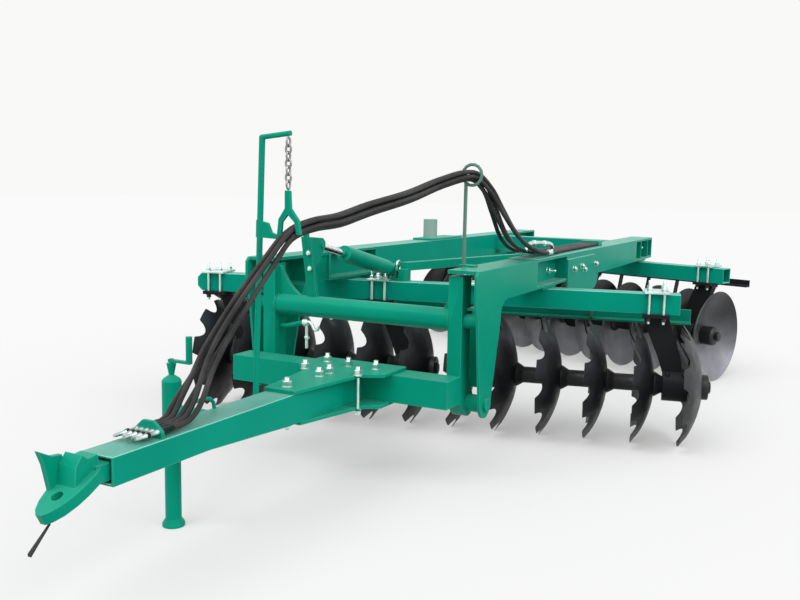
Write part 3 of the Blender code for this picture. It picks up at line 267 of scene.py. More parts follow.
# ---------------------------------------------------------------- camera, light, floor
def make_camera():
    yaw, pitch, roll = radians(CAMERA_YAW), radians(CAMERA_PITCH), radians(CAMERA_ROLL)
    ahead = Vector((-sin(yaw) * cos(pitch), cos(yaw) * cos(pitch), -sin(pitch)))
    right = Vector((cos(yaw), sin(yaw), 0))
    up = right.cross(ahead)
    right, up = cos(roll) * right + sin(roll) * up, cos(roll) * up - sin(roll) * right
    data = bpy.data.cameras.new("camera")
    data.sensor_width = SENSOR
    data.lens = LENS
    data.shift_x, data.shift_y = LENS_SHIFT
    data.clip_end = 200.0
    camera = bpy.data.objects.new("camera", data)
    turn = Matrix((right, up, -ahead)).transposed().to_4x4()
    camera.matrix_world = Matrix.Translation(at(*CAMERA_AT)) @ turn
    bpy.context.scene.collection.objects.link(camera)
    bpy.context.scene.camera = camera


def make_world():
    """Even light from all round, and a pale backdrop for the camera and for reflections."""
    world = bpy.data.worlds.new("studio")
    tree = Tree(world)
    tree.nodes.clear()
    light = tree.add("Background", {"Color": (0.96, 0.98, 1.0, 1), "Strength": 0.62})[0]
    backdrop = tree.add("Background", {"Color": (0.945, 0.948, 0.930, 1), "Strength": 1.0})[0]
    both = tree.add("MixShader", {0: watched_rays(tree), 1: light, 2: backdrop})[0]
    tree.add("OutputWorld", {"Surface": both})
    bpy.context.scene.world = world


def make_lights():
    # Columns: name, direction that the light comes from, strength, angle in degrees.
    for name, source, strength, angle in (
            ("key", (-0.25, -0.95, 1.3), 1.66, 50),
            ("side", (1.0, -0.2, 0.75), 1.55, 50)):
        data = bpy.data.lights.new(name, "SUN")
        data.energy = strength
        data.angle = radians(angle)
        lamp = bpy.data.objects.new(name, data)
        lamp.rotation_euler = Vector(source).to_track_quat("Z", "Y").to_euler()
        bpy.context.scene.collection.objects.link(lamp)


def make_floor():
    """A grey floor that takes shadows and glows for the rays that see it, so that it meets the backdrop."""
    mesh = bpy.data.meshes.new("floor")
    h = FLOOR_HALF
    mesh.from_pydata([(-h, -h, 0), (h, -h, 0), (h, h, 0), (-h, h, 0)], [], [(0, 1, 2, 3)])
    material, tree, shader = new_material("floor")
    tree.fill(shader, {
        "Base Color": (0.44, 0.44, 0.437, 1), "Roughness": 0.9, "Specular IOR Level": 0.0,
        "Emission Color": (1.0, 0.995, 0.985, 1),
        "Emission Strength": tree.math("MULTIPLY", watched_rays(tree), FLOOR_GLOW)})
    mesh.materials.append(material)
    floor = bpy.data.objects.new("floor", mesh)
    floor.location = (0, 0, -0.0005)
    bpy.context.scene.collection.objects.link(floor)


# ---------------------------------------------------------------- materials
def shade(colour, factor):
    return tuple(min(1.0, c * factor) for c in colour)


def paint(name, colour, rough=0.38, film=0.12, peel=0.02, shine=0.10, edge=0.35, rim=0.0):
    """Sprayed paint: slow drift of shade, light dust and painted sheen on what faces up, a painted highlight
    along the edges and a painted highlight on rounded rims.

    film is the share of the dust and painted sheen, peel the depth of the orange peel, edge the share of the
    painted edge highlight and rim the share of the painted rim highlight.
    """
    material, tree, shader = new_material(name)
    surface = tree.add("NewGeometry")
    drift = tree.ramp(tree.noise(2.2, 4), (0.3, shade(colour, 0.93)), (0.7, shade(colour, 1.06)))
    # Light dust and painted sheen: a paler colour, in patches, on faces that look up.
    facing = tree.stretched(tree.height(surface["Normal"]), 0.4, 1.0, 0.0, film)
    patches = tree.math("MULTIPLY", facing, tree.ramp(tree.noise(9.0, 5), (0.3, 0.55), (0.75, 1.0)))
    dust_and_sheen_mix = tree.mixed(patches, drift, DUST_AND_SHEEN)
    # Painted highlight along the edges: a paler colour, in patches, where the bevel normal turns away from
    # the face's own.
    rounded = tree.add("Bevel", {"Radius": 0.0065}, samples=4)[0]
    flat = tree.add("VectorMath", {0: rounded, 1: surface["True Normal"]}, operation="DOT_PRODUCT")["Value"]
    worn = tree.stretched(flat, 0.965, 0.80, 0.0, edge)
    patchy_edge_highlight = tree.math("MULTIPLY", worn, tree.ramp(tree.noise(6.0, 4), (0.35, 0.25), (0.65, 1.0)))
    edge_highlighted = tree.mixed(patchy_edge_highlight, dust_and_sheen_mix, (*shade([c + edge * 0.30 for c in colour], 1.6), 1))
    # Painted highlight on rounded rims: a pale colour where the face's true normal slants between up and
    # sideways.
    slope = tree.height(surface["True Normal"])
    rim_highlight_share = tree.ramp(slope, (0.30, 0.0), (0.42, rim), (0.90, rim), (0.965, 0.0))
    tree.fill(shader, {
        "Base Color": tree.mixed(rim_highlight_share, edge_highlighted, RIM_HIGHLIGHT),
        "Roughness": tree.ramp(tree.noise(3.0, 3), (0.3, rough - 0.02), (0.75, rough + 0.04)),
        "Specular IOR Level": shine,
        "Specular Tint": (*[0.45 + 0.55 * c / max(colour) for c in colour], 1),
        "Normal": tree.bump(tree.noise(45.0, 2), peel, 0.001)})
    return material


def steel(name, colour, rough, metal=1.0, grain=0.15, scale=60.0):
    """Plain or plated steel with fine marks."""
    material, tree, shader = new_material(name)
    smoothest = max(0.05, rough - 0.1)
    tree.fill(shader, {
        "Base Color": tree.ramp(tree.noise(scale, 4), (0.3, shade(colour, 0.75)), (0.7, shade(colour, 1.2))),
        "Roughness": tree.ramp(tree.noise(scale * 1.7, 3), (0.3, smoothest), (0.7, rough + 0.12)),
        "Metallic": metal,
        "Normal": tree.bump(tree.noise(scale * 5, 3), grain, 0.0006)})
    return material


def disc_steel(name, colour, rough, metal):
    """Rolled disc steel with rings about the axle and scale, and painted shade where it faces down and
    painted light where it faces up.
    """
    material, tree, shader = new_material(name)
    where = tree.add("TexCoord")["Object"]
    rings = tree.add("TexWave", {"Vector": where, "Scale": 26.0, "Distortion": 1.2, "Detail": 2.0},
                     wave_type="RINGS", rings_direction="X")
    base = tree.ramp(tree.noise(5.0, 5), (0.3, shade(colour, 0.7)), (0.7, shade(colour, 1.35)))
    marked = tree.mixed(0.12, base, rings["Color"], "OVERLAY")
    # Painted light and shade: the colour is darker where the surface faces down and lighter where it faces
    # up.
    lift = tree.stretched(tree.height(tree.add("NewGeometry")["Normal"]), -0.25, 0.45, 0.22, 1.75)
    tree.fill(shader, {
        "Base Color": tree.add("VectorMath", {0: marked, "Scale": lift}, operation="SCALE")[0],
        "Roughness": tree.ramp(tree.noise(11.0, 4), (0.3, rough - 0.08), (0.7, rough + 0.14)),
        "Metallic": metal,
        "Normal": tree.bump(rings["Fac"], 0.12, 0.0008)})
    return material


def hose_rubber():
    """Black hose cover with a fine wrap along its length."""
    material, tree, shader = new_material("hose_cover")
    along = tree.add("UVMap", uv_map="along")[0]
    wrap = tree.add("TexWave", {"Vector": along, "Scale": 55.0, "Distortion": 0.6},
                    wave_type="BANDS", bands_direction="DIAGONAL")
    dark, pale = (0.010, 0.0095, 0.0095), (0.046, 0.044, 0.044)
    tree.fill(shader, {
        "Base Color": tree.ramp(tree.noise(7.0, 4), (0.35, dark), (0.72, pale)),
        "Roughness": 0.5, "Specular IOR Level": 0.35,
        "Normal": tree.bump(wrap["Fac"], 0.5, 0.0012)})
    return material


TEAL = paint("teal", (0.001, 0.288, 0.184), film=0.06)
# A darker teal that paints the shade on the front scraper bar under the beam.
TEAL_SHADED = paint("teal_shaded", (0.001, 0.175, 0.115), film=0.02, edge=0.6)
# Teal for the drawbar, rails, beams and cross member: more light dust and painted sheen on its tops, a
# painted edge highlight and a painted rim highlight.
TEAL_DUST_AND_SHEEN = paint("teal_dust_and_sheen", (0.001, 0.292, 0.200), film=0.40, shine=0.06, edge=0.6, rim=0.75)
BLACK = paint("black", (0.013, 0.0135, 0.0145), rough=0.42, film=0.05, peel=0.12, edge=0.10)
DISC_BLACK = disc_steel("disc_black", (0.016, 0.017, 0.020), 0.42, 0.35)
DISC_GREY = disc_steel("disc_grey", (0.118, 0.120, 0.134), 0.36, 0.30)
AXLE = steel("axle_black", (0.02, 0.02, 0.021), 0.45, metal=0.4, scale=30.0)
PRIMER = paint("primer", (0.29, 0.41, 0.37), rough=0.5, film=0.0, edge=0.1)
COUPLING = steel("coupling", (0.52, 0.60, 0.59), 0.36, scale=45.0)
ZINC = steel("zinc", (0.64, 0.79, 0.75), 0.32, grain=0.05, scale=12.0)
PALE = paint("pale_teal", (0.13, 0.24, 0.20), rough=0.5, film=0.0, edge=0.1)
CHROME = steel("chrome", (0.80, 0.81, 0.83), 0.14, grain=0.03)
CHAIN = steel("chain", (0.32, 0.32, 0.33), 0.38, scale=90.0)
RUBBER = hose_rubber()


# ---------------------------------------------------------------- mesh kit
def circle(count, start=0.0):
    """Even angles round a circle."""
    return [2 * pi * k / count + start for k in range(count)]


class Kit:
    """Collects plain forms in one mesh."""

    def __init__(self):
        self.bm = bmesh.new()

    def loft(self, rows, closed=False):
        """Quads between rings of as many points each, with end faces unless the rings close on themselves."""
        rings = [[self.bm.verts.new(p) for p in row] for row in rows]
        n = len(rings[0])
        pairs = list(zip(rings, rings[1:])) + ([(rings[-1], rings[0])] if closed else [])
        for a, b in pairs:
            for k in range(n):
                j = (k + 1) % n
                self.bm.faces.new((a[k], a[j], b[j], b[k]))
        if not closed:
            self.bm.faces.new(rings[0][::-1])
            self.bm.faces.new(rings[-1])

    def turned(self, profile, start, direction, sides=24, twist=0.0):
        """A profile of (distance, radius) about a line."""
        turn = UP.rotation_difference(Vector(direction)).to_matrix()
        self.loft([[Vector(start) + turn @ Vector((r * cos(a), r * sin(a), d)) for a in circle(sides, twist)]
                   for d, r in profile])

    def rod(self, start, end, radius, sides=20, chamfer=0.0):
        start, end = Vector(start), Vector(end)
        length = (end - start).length
        profile = [(0, radius), (length, radius)]
        if chamfer:
            small = radius - chamfer
            profile = [(0, small), (chamfer, radius), (length - chamfer, radius), (length, small)]
        self.turned(profile, start, end - start, sides)

    def block(self, centre, size, turn=None, chamfer=0.002):
        """A box with its edges cut."""
        x, y, z = (s / 2 for s in size)
        c = min(chamfer, x, y)
        quarter = [(x - c, -y), (x, -y + c), (x, y - c), (x - c, y)]
        ring = quarter + [(-u, -v) for u, v in quarter]
        inner = [(u * (1 - c / x), v * (1 - c / y)) for u, v in ring]
        rows = [[(u, v, w) for u, v in outline]
                for outline, w in ((inner, -z), (ring, -z + c), (ring, z - c), (inner, z))]
        turn = turn or Matrix.Identity(3)
        self.loft([[Vector(centre) + turn @ Vector(p) for p in row] for row in rows])

    def nut(self, centre, direction, across=0.024, high=0.014, washer=True, stub=0.0, stem=STUD_RADIUS):
        """A hexagon nut or bolt head standing on a surface at centre, with its thread's end."""
        direction = Vector(direction).normalized()
        low = 0.0
        if washer:
            low = 0.003
            wide = across * 0.66
            self.turned([(0, wide), (0.0022, wide), (low, across * 0.62)], centre, direction, 20)
        r = across / 2 / cos(pi / 6)
        top = low + high
        head = [(low, r * 0.94), (low + 0.0015, r), (top - 0.002, r), (top, r * 0.88)]
        self.turned(head, centre, direction, 6, twist=0.3)
        if stub > 0:
            turns = max(2, int(stub / THREAD_PITCH))
            rows = [(top - 0.001, stem)]
            for k in range(turns):
                start = top + stub * k / turns
                rows += [(start + 0.0005, stem * 0.9), (start + stub / turns * 0.5, stem)]
            self.turned(rows + [(top + stub, stem * 0.8)], centre, direction, 12)

    def stud(self, low, high):
        self.rod(low, high, STUD_RADIUS, 12)

    def tube(self, points, radius, sides=12, closed=False):
        """A round tube through points, without twist."""
        points = [Vector(p) for p in points]
        n = len(points)
        side = None
        rows = []
        for k, p in enumerate(points):
            if closed:
                along = points[(k + 1) % n] - points[k - 1]
            else:
                along = points[min(k + 1, n - 1)] - points[max(k - 1, 0)]
            along.normalize()
            if side is None:
                side = along.orthogonal().normalized()
            side = (side - along * side.dot(along)).normalized()
            other = along.cross(side)
            rows.append([p + radius * (cos(a) * side + sin(a) * other) for a in circle(sides)])
        self.loft(rows, closed=closed)

    def done(self, name, body, material, slot, matrix=None, smooth=35, replaces=()):
        """Make the piece, riding on a body: smooth is the largest angle in degrees that is shaded round."""
        mesh = bpy.data.meshes.new(name)
        bmesh.ops.recalc_face_normals(self.bm, faces=self.bm.faces)
        self.bm.to_mesh(mesh)
        self.bm.free()
        mesh.materials.append(material)
        if smooth:
            mesh.shade_smooth()
            mesh.set_sharp_from_angle(angle=radians(smooth))
        item = bpy.data.objects.new(name, mesh)
        if matrix is not None:
            item.matrix_world = matrix
        bpy.context.scene.collection.objects.link(item)
        if body:
            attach(item, body)
        if replaces:
            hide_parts(*replaces)
        return item


# ---------------------------------------------------------------- discs
def gang_matrix(gang):
    return Matrix.Translation(at(gang.x, gang.y, 0)) @ Matrix.Rotation(radians(gang.yaw), 4, "Z")


def rim_place(number):
    return (number - (2 * PER_SECTION + 1) / 2) * DISC_PITCH


def bearing_place(first, second, hollow):
    return (rim_place(first) + rim_place(second)) / 2 - hollow * (DISC_DEPTH - DISC_THICK / 2)


def dish(radius):
    """How far the dish rises from its bottom at a radius: a part of a sphere."""
    sphere = (DISC_RADIUS ** 2 + DISC_DEPTH ** 2) / (2 * DISC_DEPTH)
    return sphere - sqrt(sphere ** 2 - radius ** 2)


def rim_radius(angle, notched):
    """The rim's radius at an angle, with round scallops between the teeth."""
    tooth = 2 * pi / NOTCHES
    from_notch = abs(((angle + pi / 2) / tooth) % 1.0 - 0.5) / 0.25
    if not notched or from_notch >= 1:
        return DISC_RADIUS
    return DISC_RADIUS - NOTCH_DEPTH * (1 - from_notch ** 2) ** NOTCH_SHAPE


def disc_bottom(k):
    """Where the bottom of a section's disc lies along its axle."""
    return k * DISC_PITCH - DISC_DEPTH


def add_disc(kit, bottom, notched):
    """Rings of points out over the back of the disc and in again over its hollow face."""
    shares = (0.0, 0.18, 0.36, 0.54, 0.70, 0.84, GROUND_FROM, 1.0)
    angles = circle(150 if notched else 96)
    inner = HUB * 0.9
    rows = []
    for hollow_face, order in ((False, shares), (True, shares[::-1])):
        for share in order:
            thick = DISC_THICK if share < GROUND_FROM else DISC_EDGE
            lift = DISC_THICK if hollow_face else DISC_THICK - thick
            radii = [inner + share * (rim_radius(a, notched) - inner) for a in angles]
            rows.append([(bottom + dish(r) + lift, r * cos(a), r * sin(a)) for r, a in zip(radii, angles)])
    kit.loft(rows, closed=True)


def add_axle(kit):
    """Spools between the discs, the bell and nut at one end, the washer and nut at the other."""
    line = ((0, 0, 0), (1, 0, 0))
    faces = [disc_bottom(k) + dish(HUB) + DISC_THICK for k in range(PER_SECTION)]
    for k, face in enumerate(faces[:-1]):
        after = disc_bottom(k + 1)
        kit.turned([(face - 0.006, HUB - 0.001), (face + 0.004, HUB), (face + 0.009, HUB - 0.002),
                    (face + 0.018, SPOOL + 0.008), (face + 0.030, SPOOL), (after - 0.034, SPOOL),
                    (after - 0.022, SPOOL + 0.007), (after - 0.006, HUB - 0.003), (after, HUB),
                    (after + dish(HUB) + 0.002, HUB - 0.001)], *line, 28)
    face = faces[-1]
    tip = disc_bottom(PER_SECTION - 1) + DISC_THICK + BELL_LENGTH
    kit.turned([(face - 0.006, HUB - 0.001), (face + 0.004, HUB), (tip - 0.022, 0.064), (tip - 0.012, 0.063),
                (tip - 0.003, 0.052), (tip, 0.047)], *line, 28)
    kit.turned([(tip - 0.001, 0.0295), (tip + 0.002, 0.030), (tip + 0.022, 0.030), (tip + 0.026, 0.026)],
               *line, 6)
    end = -DISC_DEPTH - END_WASHER
    kit.turned([(end, 0.058), (end + 0.004, HUB), (end + END_WASHER, HUB),
                (end + END_WASHER + dish(HUB) + 0.002, HUB - 0.001)], *line, 28)
    kit.turned([(end - 0.012, 0.026), (end - 0.009, 0.030), (end + 0.001, 0.030)], *line, 6)


def make_gangs():
    for gang in GANGS:
        look, slot = (DISC_BLACK, "black_paint") if gang.notched else (DISC_GREY, "worn_steel")
        for part, start in (("right", 1), ("left", 1 + PER_SECTION)):
            first = rim_place(start if gang.hollow > 0 else start + PER_SECTION - 1)
            turn = radians(gang.yaw) + (0 if gang.hollow > 0 else pi)
            centre = gang_matrix(gang) @ Vector((first, 0, DISC_RADIUS))
            matrix = Matrix.Translation(centre) @ Matrix.Rotation(turn, 4, "Z")
            body = f"{gang.name}_gang_{part}"
            discs, axle = Kit(), Kit()
            for k in range(PER_SECTION):
                add_disc(discs, disc_bottom(k), gang.notched)
            add_axle(axle)
            discs.done(f"{body}_discs", body, look, slot, matrix, replaces=[body])
            axle.done(f"{body}_axle", body, AXLE, "black_paint", matrix)


# ---------------------------------------------------------------- hoses
def lane(number, share):
    """A hose's place across the route: side by side at share 0, in a round bundle at share 1."""
    angle = radians(BUNDLE_ANGLES[number])
    row = ((number - (HOSES - 1) / 2) * HOSE_SPACING, 0.0)
    bundle = (HOSE_BUNDLE * cos(angle), HOSE_BUNDLE * sin(angle))
    return tuple(a + (b - a) * share for a, b in zip(row, bundle))


def smooth_curve(before, a, b, after, t):
    """The point and the direction at a share t of the curve from a to b."""
    square, cube = 2 * before - 5 * a + 4 * b - after, 3 * a - before - 3 * b + after
    place = 0.5 * (2 * a + (b - before) * t + square * t ** 2 + cube * t ** 3)
    along = 0.5 * ((b - before) + 2 * square * t + 3 * cube * t ** 2)
    return place, along


def hose_points(number):
    route = [Vector(place) for place, _, _ in HOSE_ROUTE]
    last = len(route) - 2
    points = []
    for k in range(last + 1):
        before, after = route[max(k - 1, 0)], route[min(k + 2, last + 1)]
        (_, share_0, spread_0), (_, share_1, spread_1) = HOSE_ROUTE[k:k + 2]
        for step in range(STRETCH_STEPS + (k == last)):
            t = step / STRETCH_STEPS
            place, along = smooth_curve(before, route[k], route[k + 1], after, t)
            spread = spread_0 + (spread_1 - spread_0) * t
            across = along.cross(UP).normalized()
            above = across.cross(along).normalized()
            u, v = lane(number, share_0 + (share_1 - share_0) * t)
            points.append(at(*(place + (across * u + above * v) * spread)))
    return points


def map_hose(item, run):
    """A UV map that follows a hose, from the distance of each of its rings along it."""
    uv = item.data.uv_layers.new(name="along")
    for loop in item.data.loops:
        ring, side = divmod(loop.vertex_index, HOSE_SIDES)
        uv.data[loop.index].uv = (run[ring] * WRAP_ALONG, side / HOSE_SIDES * WRAP_ROUND)


def make_hoses():
    for number in range(HOSES):
        line = hose_points(number)
        run = [0.0]
        for a, b in zip(line, line[1:]):
            run.append(run[-1] + (b - a).length)
        kit = Kit()
        kit.tube(line, HOSE_RADIUS, HOSE_SIDES)
        item = kit.done(f"hose_{number + 1}_cover", None, RUBBER, "hose_rubber")
        map_hose(item, run)
        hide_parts(f"hose_{number + 1}")
        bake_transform(item)


# ---------------------------------------------------------------- chain
def make_chain():
    """Round links, each turned a quarter from the one before."""
    kit = Kit()
    low, high = box_of("hose_chain")
    middle = (low + high) / 2
    pitch = (high.z - low.z - 2 * LINK_WIRE) / (CHAIN_LINKS + 2 * LINK_LONG - 1)
    half = pitch * LINK_LONG
    for k in range(CHAIN_LINKS):
        centre = at(middle.x, middle.y, low.z + LINK_WIRE + pitch * (k + LINK_LONG))
        points = []
        for a in circle(20):
            # A link is a little narrower towards its ends.
            across = LINK_WIDE * cos(a) * (1.0 if abs(sin(a)) < 0.75 else 0.96)
            x, y = (0, across) if k % 2 == 0 else (across, 0)
            points.append(centre + Vector((x, y, half * sin(a))))
        kit.tube(points, LINK_WIRE, 8, closed=True)
    kit.done("support_chain", "hitch_frame", CHAIN, "worn_steel", smooth=60, replaces=["hose_chain"])


# ---------------------------------------------------------------- clamps and bolts
def add_clamp(studs, dark, plates, matrix, along):
    """Four studs round a beam, with nuts above and below and a plate on top."""
    wide = GANG_BEAM / 2 + 0.010
    low, high = BEAM_TOP - GANG_BEAM - CLAMP_UNDER, BEAM_TOP + CLAMP_TOP
    for s in (-CLAMP_REACH, CLAMP_REACH):
        for n in (-wide, wide):
            bottom, top = matrix @ Vector((along + s, n, low)), matrix @ Vector((along + s, n, high))
            studs.stud(bottom, top)
            studs.nut(top, UP, stub=0.026)
            dark.nut(bottom, -UP)
            studs.rod(bottom - 0.016 * UP, bottom - 0.030 * UP, STUD_RADIUS, 12, 0.001)
    centre = matrix @ Vector((along, 0, high - CLAMP_PLATE / 2))
    plates.block(centre, (2 * CLAMP_REACH + 0.052, 2 * wide + 0.040, CLAMP_PLATE), matrix.to_3x3())


def make_gang_clamps():
    """The clamp that holds each hanger to its beam."""
    studs, dark, plates = Kit(), Kit(), Kit()
    for gang in GANGS:
        base = gang_matrix(gang) @ Matrix.Translation((0, -gang.beam_ahead, 0))
        for first, second, front_shift, rear_shift in HANGERS:
            shift = front_shift if gang.notched else rear_shift
            along = bearing_place(first, second, gang.hollow) + gang.hollow * shift
            add_clamp(studs, dark, plates, base, along)
    studs.done("hanger_studs", "main_frame", ZINC, "bright_rod")
    dark.done("hanger_lower_nuts", "main_frame", AXLE, "black_paint")
    plates.done("hanger_clamp_plates", "main_frame", ZINC, "bright_rod", smooth=30)


def make_drawbar_bolts():
    """Bolts on the drawbar's plates, and the two long studs in front of the hitch beam."""
    kit = Kit()
    top, bottom = box_of("drawbar_top_plate")[1].z, box_of("drawbar_bottom_plate")[0].z
    for x, y in PLATE_BOLTS:
        kit.nut(at(x, y, top), UP, across=0.032, high=0.022, stub=0.014, stem=0.011)
        kit.nut(at(x, y, bottom), -UP, stub=0.006)
    low, high = box_of("hitch_beam")
    for x, y in LONG_STUDS:
        kit.stud(at(x, y, low.z - 0.007), at(x, y, high.z + 0.005))
    kit.done("drawbar_bolts", "hitch_frame", ZINC, "bright_rod")


def make_frame_bolts():
    """Bolts in the saddles and on the gusset plates, and ribs in the rear saddles' ends."""
    bolts, ribs = Kit(), Kit()
    for side, front, rear in ((1, 0.0, 0.0), (-1, RIGHT_FRONT, RIGHT_REAR)):
        out = (side, 0, 0)
        face = FRAME_X + side * (RAIL_FACE - FRAME_X)
        wall = face - side * SADDLE_DEEP
        y, z = FRONT_SADDLE_BOLT
        bolts.nut(at(wall, y + front, z), out, across=0.026, high=0.015, stub=0.030)
        for y, z in GUSSET_BOLTS:
            bolts.nut(at(face + side * GUSSET_THICK, y + front, z), out, across=0.026, high=0.013, stub=0.006)
        for y in SADDLE_RIBS:
            centre = at((wall + face) / 2 + side * 0.002, y + rear, RIB_Z)
            ribs.block(centre, (SADDLE_DEEP - 0.004, 0.010, 0.118), chamfer=0.001)
        y, z = REAR_SADDLE_BOLT
        bolts.nut(at(wall, y + rear, z), out, across=0.028, high=0.016, stub=0.034)
    bolts.done("frame_bolts", "main_frame", ZINC, "bright_rod")
    ribs.done("saddle_ribs", "main_frame", TEAL, "teal_paint", smooth=0)


def make_mast_bolts():
    """Two bolts on the levelling mast, and the bright ring by the levelling bracket."""
    bolts, ring = Kit(), Kit()
    for x, y, z in ((-0.292, -1.5975, 0.958), (-0.292, -1.5865, 0.886)):
        bolts.nut(at(x, y, z), (0, -1, 0.19), across=0.022, high=0.012, washer=False, stub=0.004)
    bolts.done("mast_bolts", "hitch_frame", ZINC, "bright_rod")
    points = [at(-0.254, -0.800 + 0.021 * cos(a), 0.846 + 0.027 * sin(a)) for a in circle(20)]
    ring.tube(points, 0.0052, 10, closed=True)
    ring.rod(at(-0.262, -0.770, 0.820), at(-0.244, -0.770, 0.820), 0.012, 16, 0.002)
    ring.done("bracket_ring", "main_frame", ZINC, "bright_rod")


def make_housing_bolts():
    """Bolts that hold the bearing housings' halves together."""
    kit = Kit()
    for gang in GANGS:
        base = gang_matrix(gang)
        for first, second, _, _ in HANGERS:
            place = bearing_place(first, second, gang.hollow)
            for s in (-0.024, 0.054):
                for n in (-0.052, 0.052):
                    seat = base @ Vector((place + gang.hollow * s, n, DISC_RADIUS + 0.058))
                    kit.nut(seat, UP, across=0.020, high=0.011, washer=False, stub=0.006)
    kit.done("housing_bolts", "main_frame", AXLE, "black_paint")


# ---------------------------------------------------------------- rack, fittings, small hardware
def make_rack():
    """The plate on the drawbar, the quick couplings parked through it and the loop behind it."""
    x, y, z = HOSE_ROUTE[0][0]
    base = box_of("hose_rack")[0].z
    half, ear, peak = 2 * HOSE_SPACING + 0.016, 0.022, z + 0.031
    plate, couplings, collars, loop = Kit(), Kit(), Kit(), Kit()
    edge = [(x - half, base), (x + half, base), (x + half, z), (x + ear, peak), (x - ear, peak),
            (x - half, z)]
    plate.loft([[at(u, y - 0.060 + d, w) for u, w in edge] for d in (-0.006, 0.006)])
    plate.done("rack_plate", "hitch_frame", TEAL, "teal_paint", smooth=0, replaces=["hose_rack"])
    for number, reach in enumerate(COUPLING_REACH):
        u = x + (number - 2) * HOSE_SPACING
        couplings.turned([(0, 0.0070), (0.004, 0.0080), (0.046, 0.0080), (0.048, 0.0088), (0.074, 0.0088),
                          (0.076, 0.0075), (0.098, 0.0075), (0.100, 0.0084), (0.122, 0.0084), (0.124, 0.0070),
                          (reach - 0.008, 0.0062), (reach, 0.0050)], at(u, y, z), (0, -1, 0), 14)
        collars.turned([(0, 0.0086), (0.001, 0.0096), (0.013, 0.0096), (0.014, 0.0080)], at(u, y - 0.104, z),
                       (0, -1, 0), 14)
        collars.turned([(-0.002, 0.0090), (0.001, 0.0100), (0.050, 0.0100), (0.052, 0.0085)], at(u, y, z),
                       (0, -1, 0), 14)
    couplings.done("couplings", "hitch_frame", COUPLING, "bright_rod")
    collars.done("coupling_collars", "hitch_frame", BLACK, "black_paint")
    # Columns: x, distance from the loop's middle, z.
    leg = ((-0.056, 0.070, 0.474), (-0.057, 0.066, 0.498), (-0.058, 0.050, 0.514), (-0.058, 0.020, 0.520))
    front = [at(u, LOOP_Y - d, w) for u, d, w in leg]
    rear = [at(u, LOOP_Y + d, w) for u, d, w in leg[::-1]]
    loop.tube(front + rear, 0.007, 10)
    loop.done("drawbar_loop", "hitch_frame", TEAL, "teal_paint")


def make_hose_ends():
    """Crimped sleeves and hexagons where the hoses reach the frame, and two short steel lines over them."""
    kit = Kit()
    for number in range(HOSES):
        line = hose_points(number)
        place = SLEEVE_RING + (number * 3) % HOSES
        start, along = line[place], line[place + 1] - line[place]
        kit.turned([(0, 0.0105), (0.003, 0.0128), (0.048, 0.0128), (0.051, 0.0105)], start, along, 16)
        kit.turned([(0.052, 0.0105), (0.054, 0.0142), (0.070, 0.0142), (0.072, 0.0105)], start, along, 6)
    nut = [(0, 0.012), (0.002, 0.0140), (0.018, 0.0140), (0.020, 0.012)]
    for x, y in ((0.476, -0.800), (0.456, -0.740)):
        kit.tube([at(x - 0.006, y - 0.035, 0.962), at(x - 0.004, y - 0.020, 0.985), at(x, y + 0.010, 0.999),
                  at(x, y + 0.120, 0.996), at(x, y + 0.300, 0.984), at(x, y + 0.345, 0.975),
                  at(x, y + 0.368, 0.953)], 0.0085, 12)
        kit.turned(nut, at(x, y + 0.055, 0.9975), (0, 1, -0.03), 6)
        kit.turned(nut, at(x, y + 0.215, 0.9895), (0, 1, -0.06), 6)
    kit.done("hose_fittings", "main_frame", ZINC, "bright_rod")


def make_hook():
    """The chain hook on its arm under the pivot pipe."""
    arm, hook = Kit(), Kit()
    y = -1.600
    arm.tube([at(-0.492, -1.545, 0.600), at(-0.440, -1.560, 0.606), at(-0.380, -1.585, 0.622),
              at(-0.322, y, 0.638)], 0.011, 12)
    arm.done("hook_arm", "hitch_frame", TEAL, "teal_paint")
    collar = [(0, 0.015), (0.003, 0.018), (0.022, 0.018), (0.026, 0.013)]
    hook.turned(collar, at(-0.320, y, 0.638), (1, 0, 0.1), 16)
    hook.tube([at(x, y, z) for x, z in ((-0.300, 0.642), (-0.285, 0.640), (-0.272, 0.630), (-0.266, 0.616),
                                        (-0.255, 0.606), (-0.242, 0.610), (-0.236, 0.622))], 0.0075, 10)
    hook.rod(at(-0.302, y, 0.632), at(-0.302, y, 0.519), 0.0075, 12)
    hook.nut(at(-0.302, y, 0.575), -UP, across=0.022, high=0.012, washer=False)
    hook.done("chain_hook", "hitch_frame", ZINC, "bright_rod")


def make_nose_rod():
    """The flat dark bar that hangs from the tongue's tip."""
    bar = Kit()
    rows = []
    # Columns: y, z, half the width, half the thickness.
    for y, z, half, deep in ((-3.318, 0.322, 0.0035, 0.002), (-3.352, 0.290, 0.005, 0.003),
                             (-3.388, 0.256, 0.007, 0.004)):
        corners = ((-half, -deep), (half, -deep), (half, deep), (-half, deep))
        rows.append([at(x, y, z + w) for x, w in corners])
    bar.loft(rows)
    bar.done("nose_bar", "hitch_clevis", AXLE, "worn_steel", smooth=0)


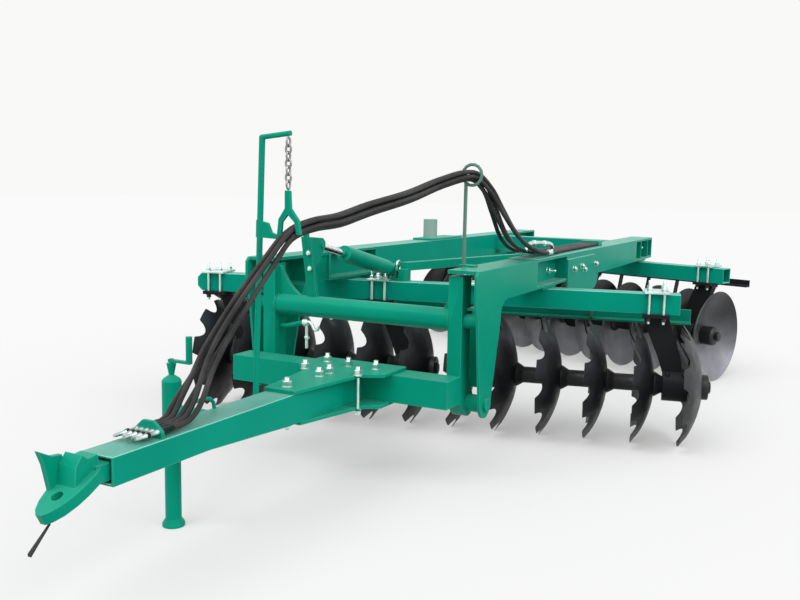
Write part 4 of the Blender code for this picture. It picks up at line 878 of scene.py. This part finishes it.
def make_welds():
    """Fillet beads, a little uneven, round the pivot pipe's ends and the rear cross member's ends."""
    hitch, main = Kit(), Kit()
    for x in PIPE_ENDS:
        ring = [(PIPE_RADIUS + 0.0005 + 0.0006 * (k % 2), a) for k, a in enumerate(circle(48))]
        points = [at(x, PIPE_Y + r * cos(a), PIPE_Z + r * sin(a)) for r, a in ring]
        hitch.tube(points, 0.0042, 8, closed=True)
    low, high = box_of("rear_cross_member")
    corners = [(low.y, low.z), (high.y, low.z), (high.y, high.z), (low.y, high.z)]
    for x in (low.x + 0.0017, high.x - 0.0017):
        points = []
        for (y0, z0), (y1, z1) in zip(corners, corners[1:] + corners[:1]):
            for k in range(14):
                t = k / 14
                points.append(at(x, y0 + (y1 - y0) * t, z0 + (z1 - z0) * t + 0.0004 * (k % 2)))
        main.tube(points, 0.0040, 8, closed=True)
    hitch.done("pipe_welds", "hitch_frame", TEAL, "teal_paint", smooth=60)
    main.done("cross_member_welds", "main_frame", TEAL, "teal_paint", smooth=60)


# ---------------------------------------------------------------- carried-over pieces
LOOKS = {"teal_paint": TEAL, "black_paint": BLACK, "worn_steel": AXLE, "bright_rod": CHROME,
         "hose_rubber": RUBBER}
# Nodes that take the teal with more light dust and painted sheen on their tops, and painted highlights on
# edges and rims.
DUST_AND_SHEEN_PARTS = ("drawbar", "left_longitudinal", "right_longitudinal", "front_gang_beam", "rear_gang_beam",
         "rear_cross_member")
# Columns: the height where a node's finish changes, the finish below it, the finish above it.
TWO_TONE = {
    # The scraper bar above the blades takes the darker teal, painted shade under the front beam.
    "front_scrapers": (0.575, BLACK, TEAL_SHADED),
    "stand_socket": (0.944, TEAL, PRIMER),
    "hose_ring": (0.990, TEAL, PALE),
}


def dress(name, item, slot):
    """Give one carried-over node its finish."""
    item.data.materials.clear()
    if name not in TWO_TONE:
        item.data.materials.append(TEAL_DUST_AND_SHEEN if name in DUST_AND_SHEEN_PARTS else LOOKS[slot])
        return
    height, below, above = TWO_TONE[name]
    item.data.materials.append(below)
    item.data.materials.append(above)
    for face in item.data.polygons:
        face.material_index = int((item.matrix_world @ face.center).z > height)


def soften(item):
    """Cut a node's sharp edges a little and shade it smooth."""
    item.modifiers.new("weld", "WELD").merge_threshold = 0.00005
    bevel = item.modifiers.new("edges", "BEVEL")
    bevel.width = EDGE_CUT
    bevel.segments = 2
    bevel.limit_method = "ANGLE"
    bevel.angle_limit = radians(EDGE_ANGLE)
    bevel.use_clamp_overlap = True
    item.modifiers.new("normals", "WEIGHTED_NORMAL").weight = 100
    for face in item.data.polygons:
        face.use_smooth = True


def dress_cad():
    """Finish and soften the CAD pieces that stay."""
    slots = {row["node"]: row["material_slot"] for row in frame["record"]["subparts"]}
    for name, item in frame["nodes"].items():
        if not item.hide_render:
            dress(name, item, slots[name])
            soften(item)


make_camera()
make_world()
make_lights()
make_floor()
make_hoses()
make_gangs()
make_chain()
make_gang_clamps()
make_drawbar_bolts()
make_rack()
make_hose_ends()
make_frame_bolts()
make_mast_bolts()
make_hook()
make_nose_rod()
make_housing_bolts()
make_welds()
dress_cad()

scene = bpy.context.scene
scene.view_settings.view_transform = "Standard"
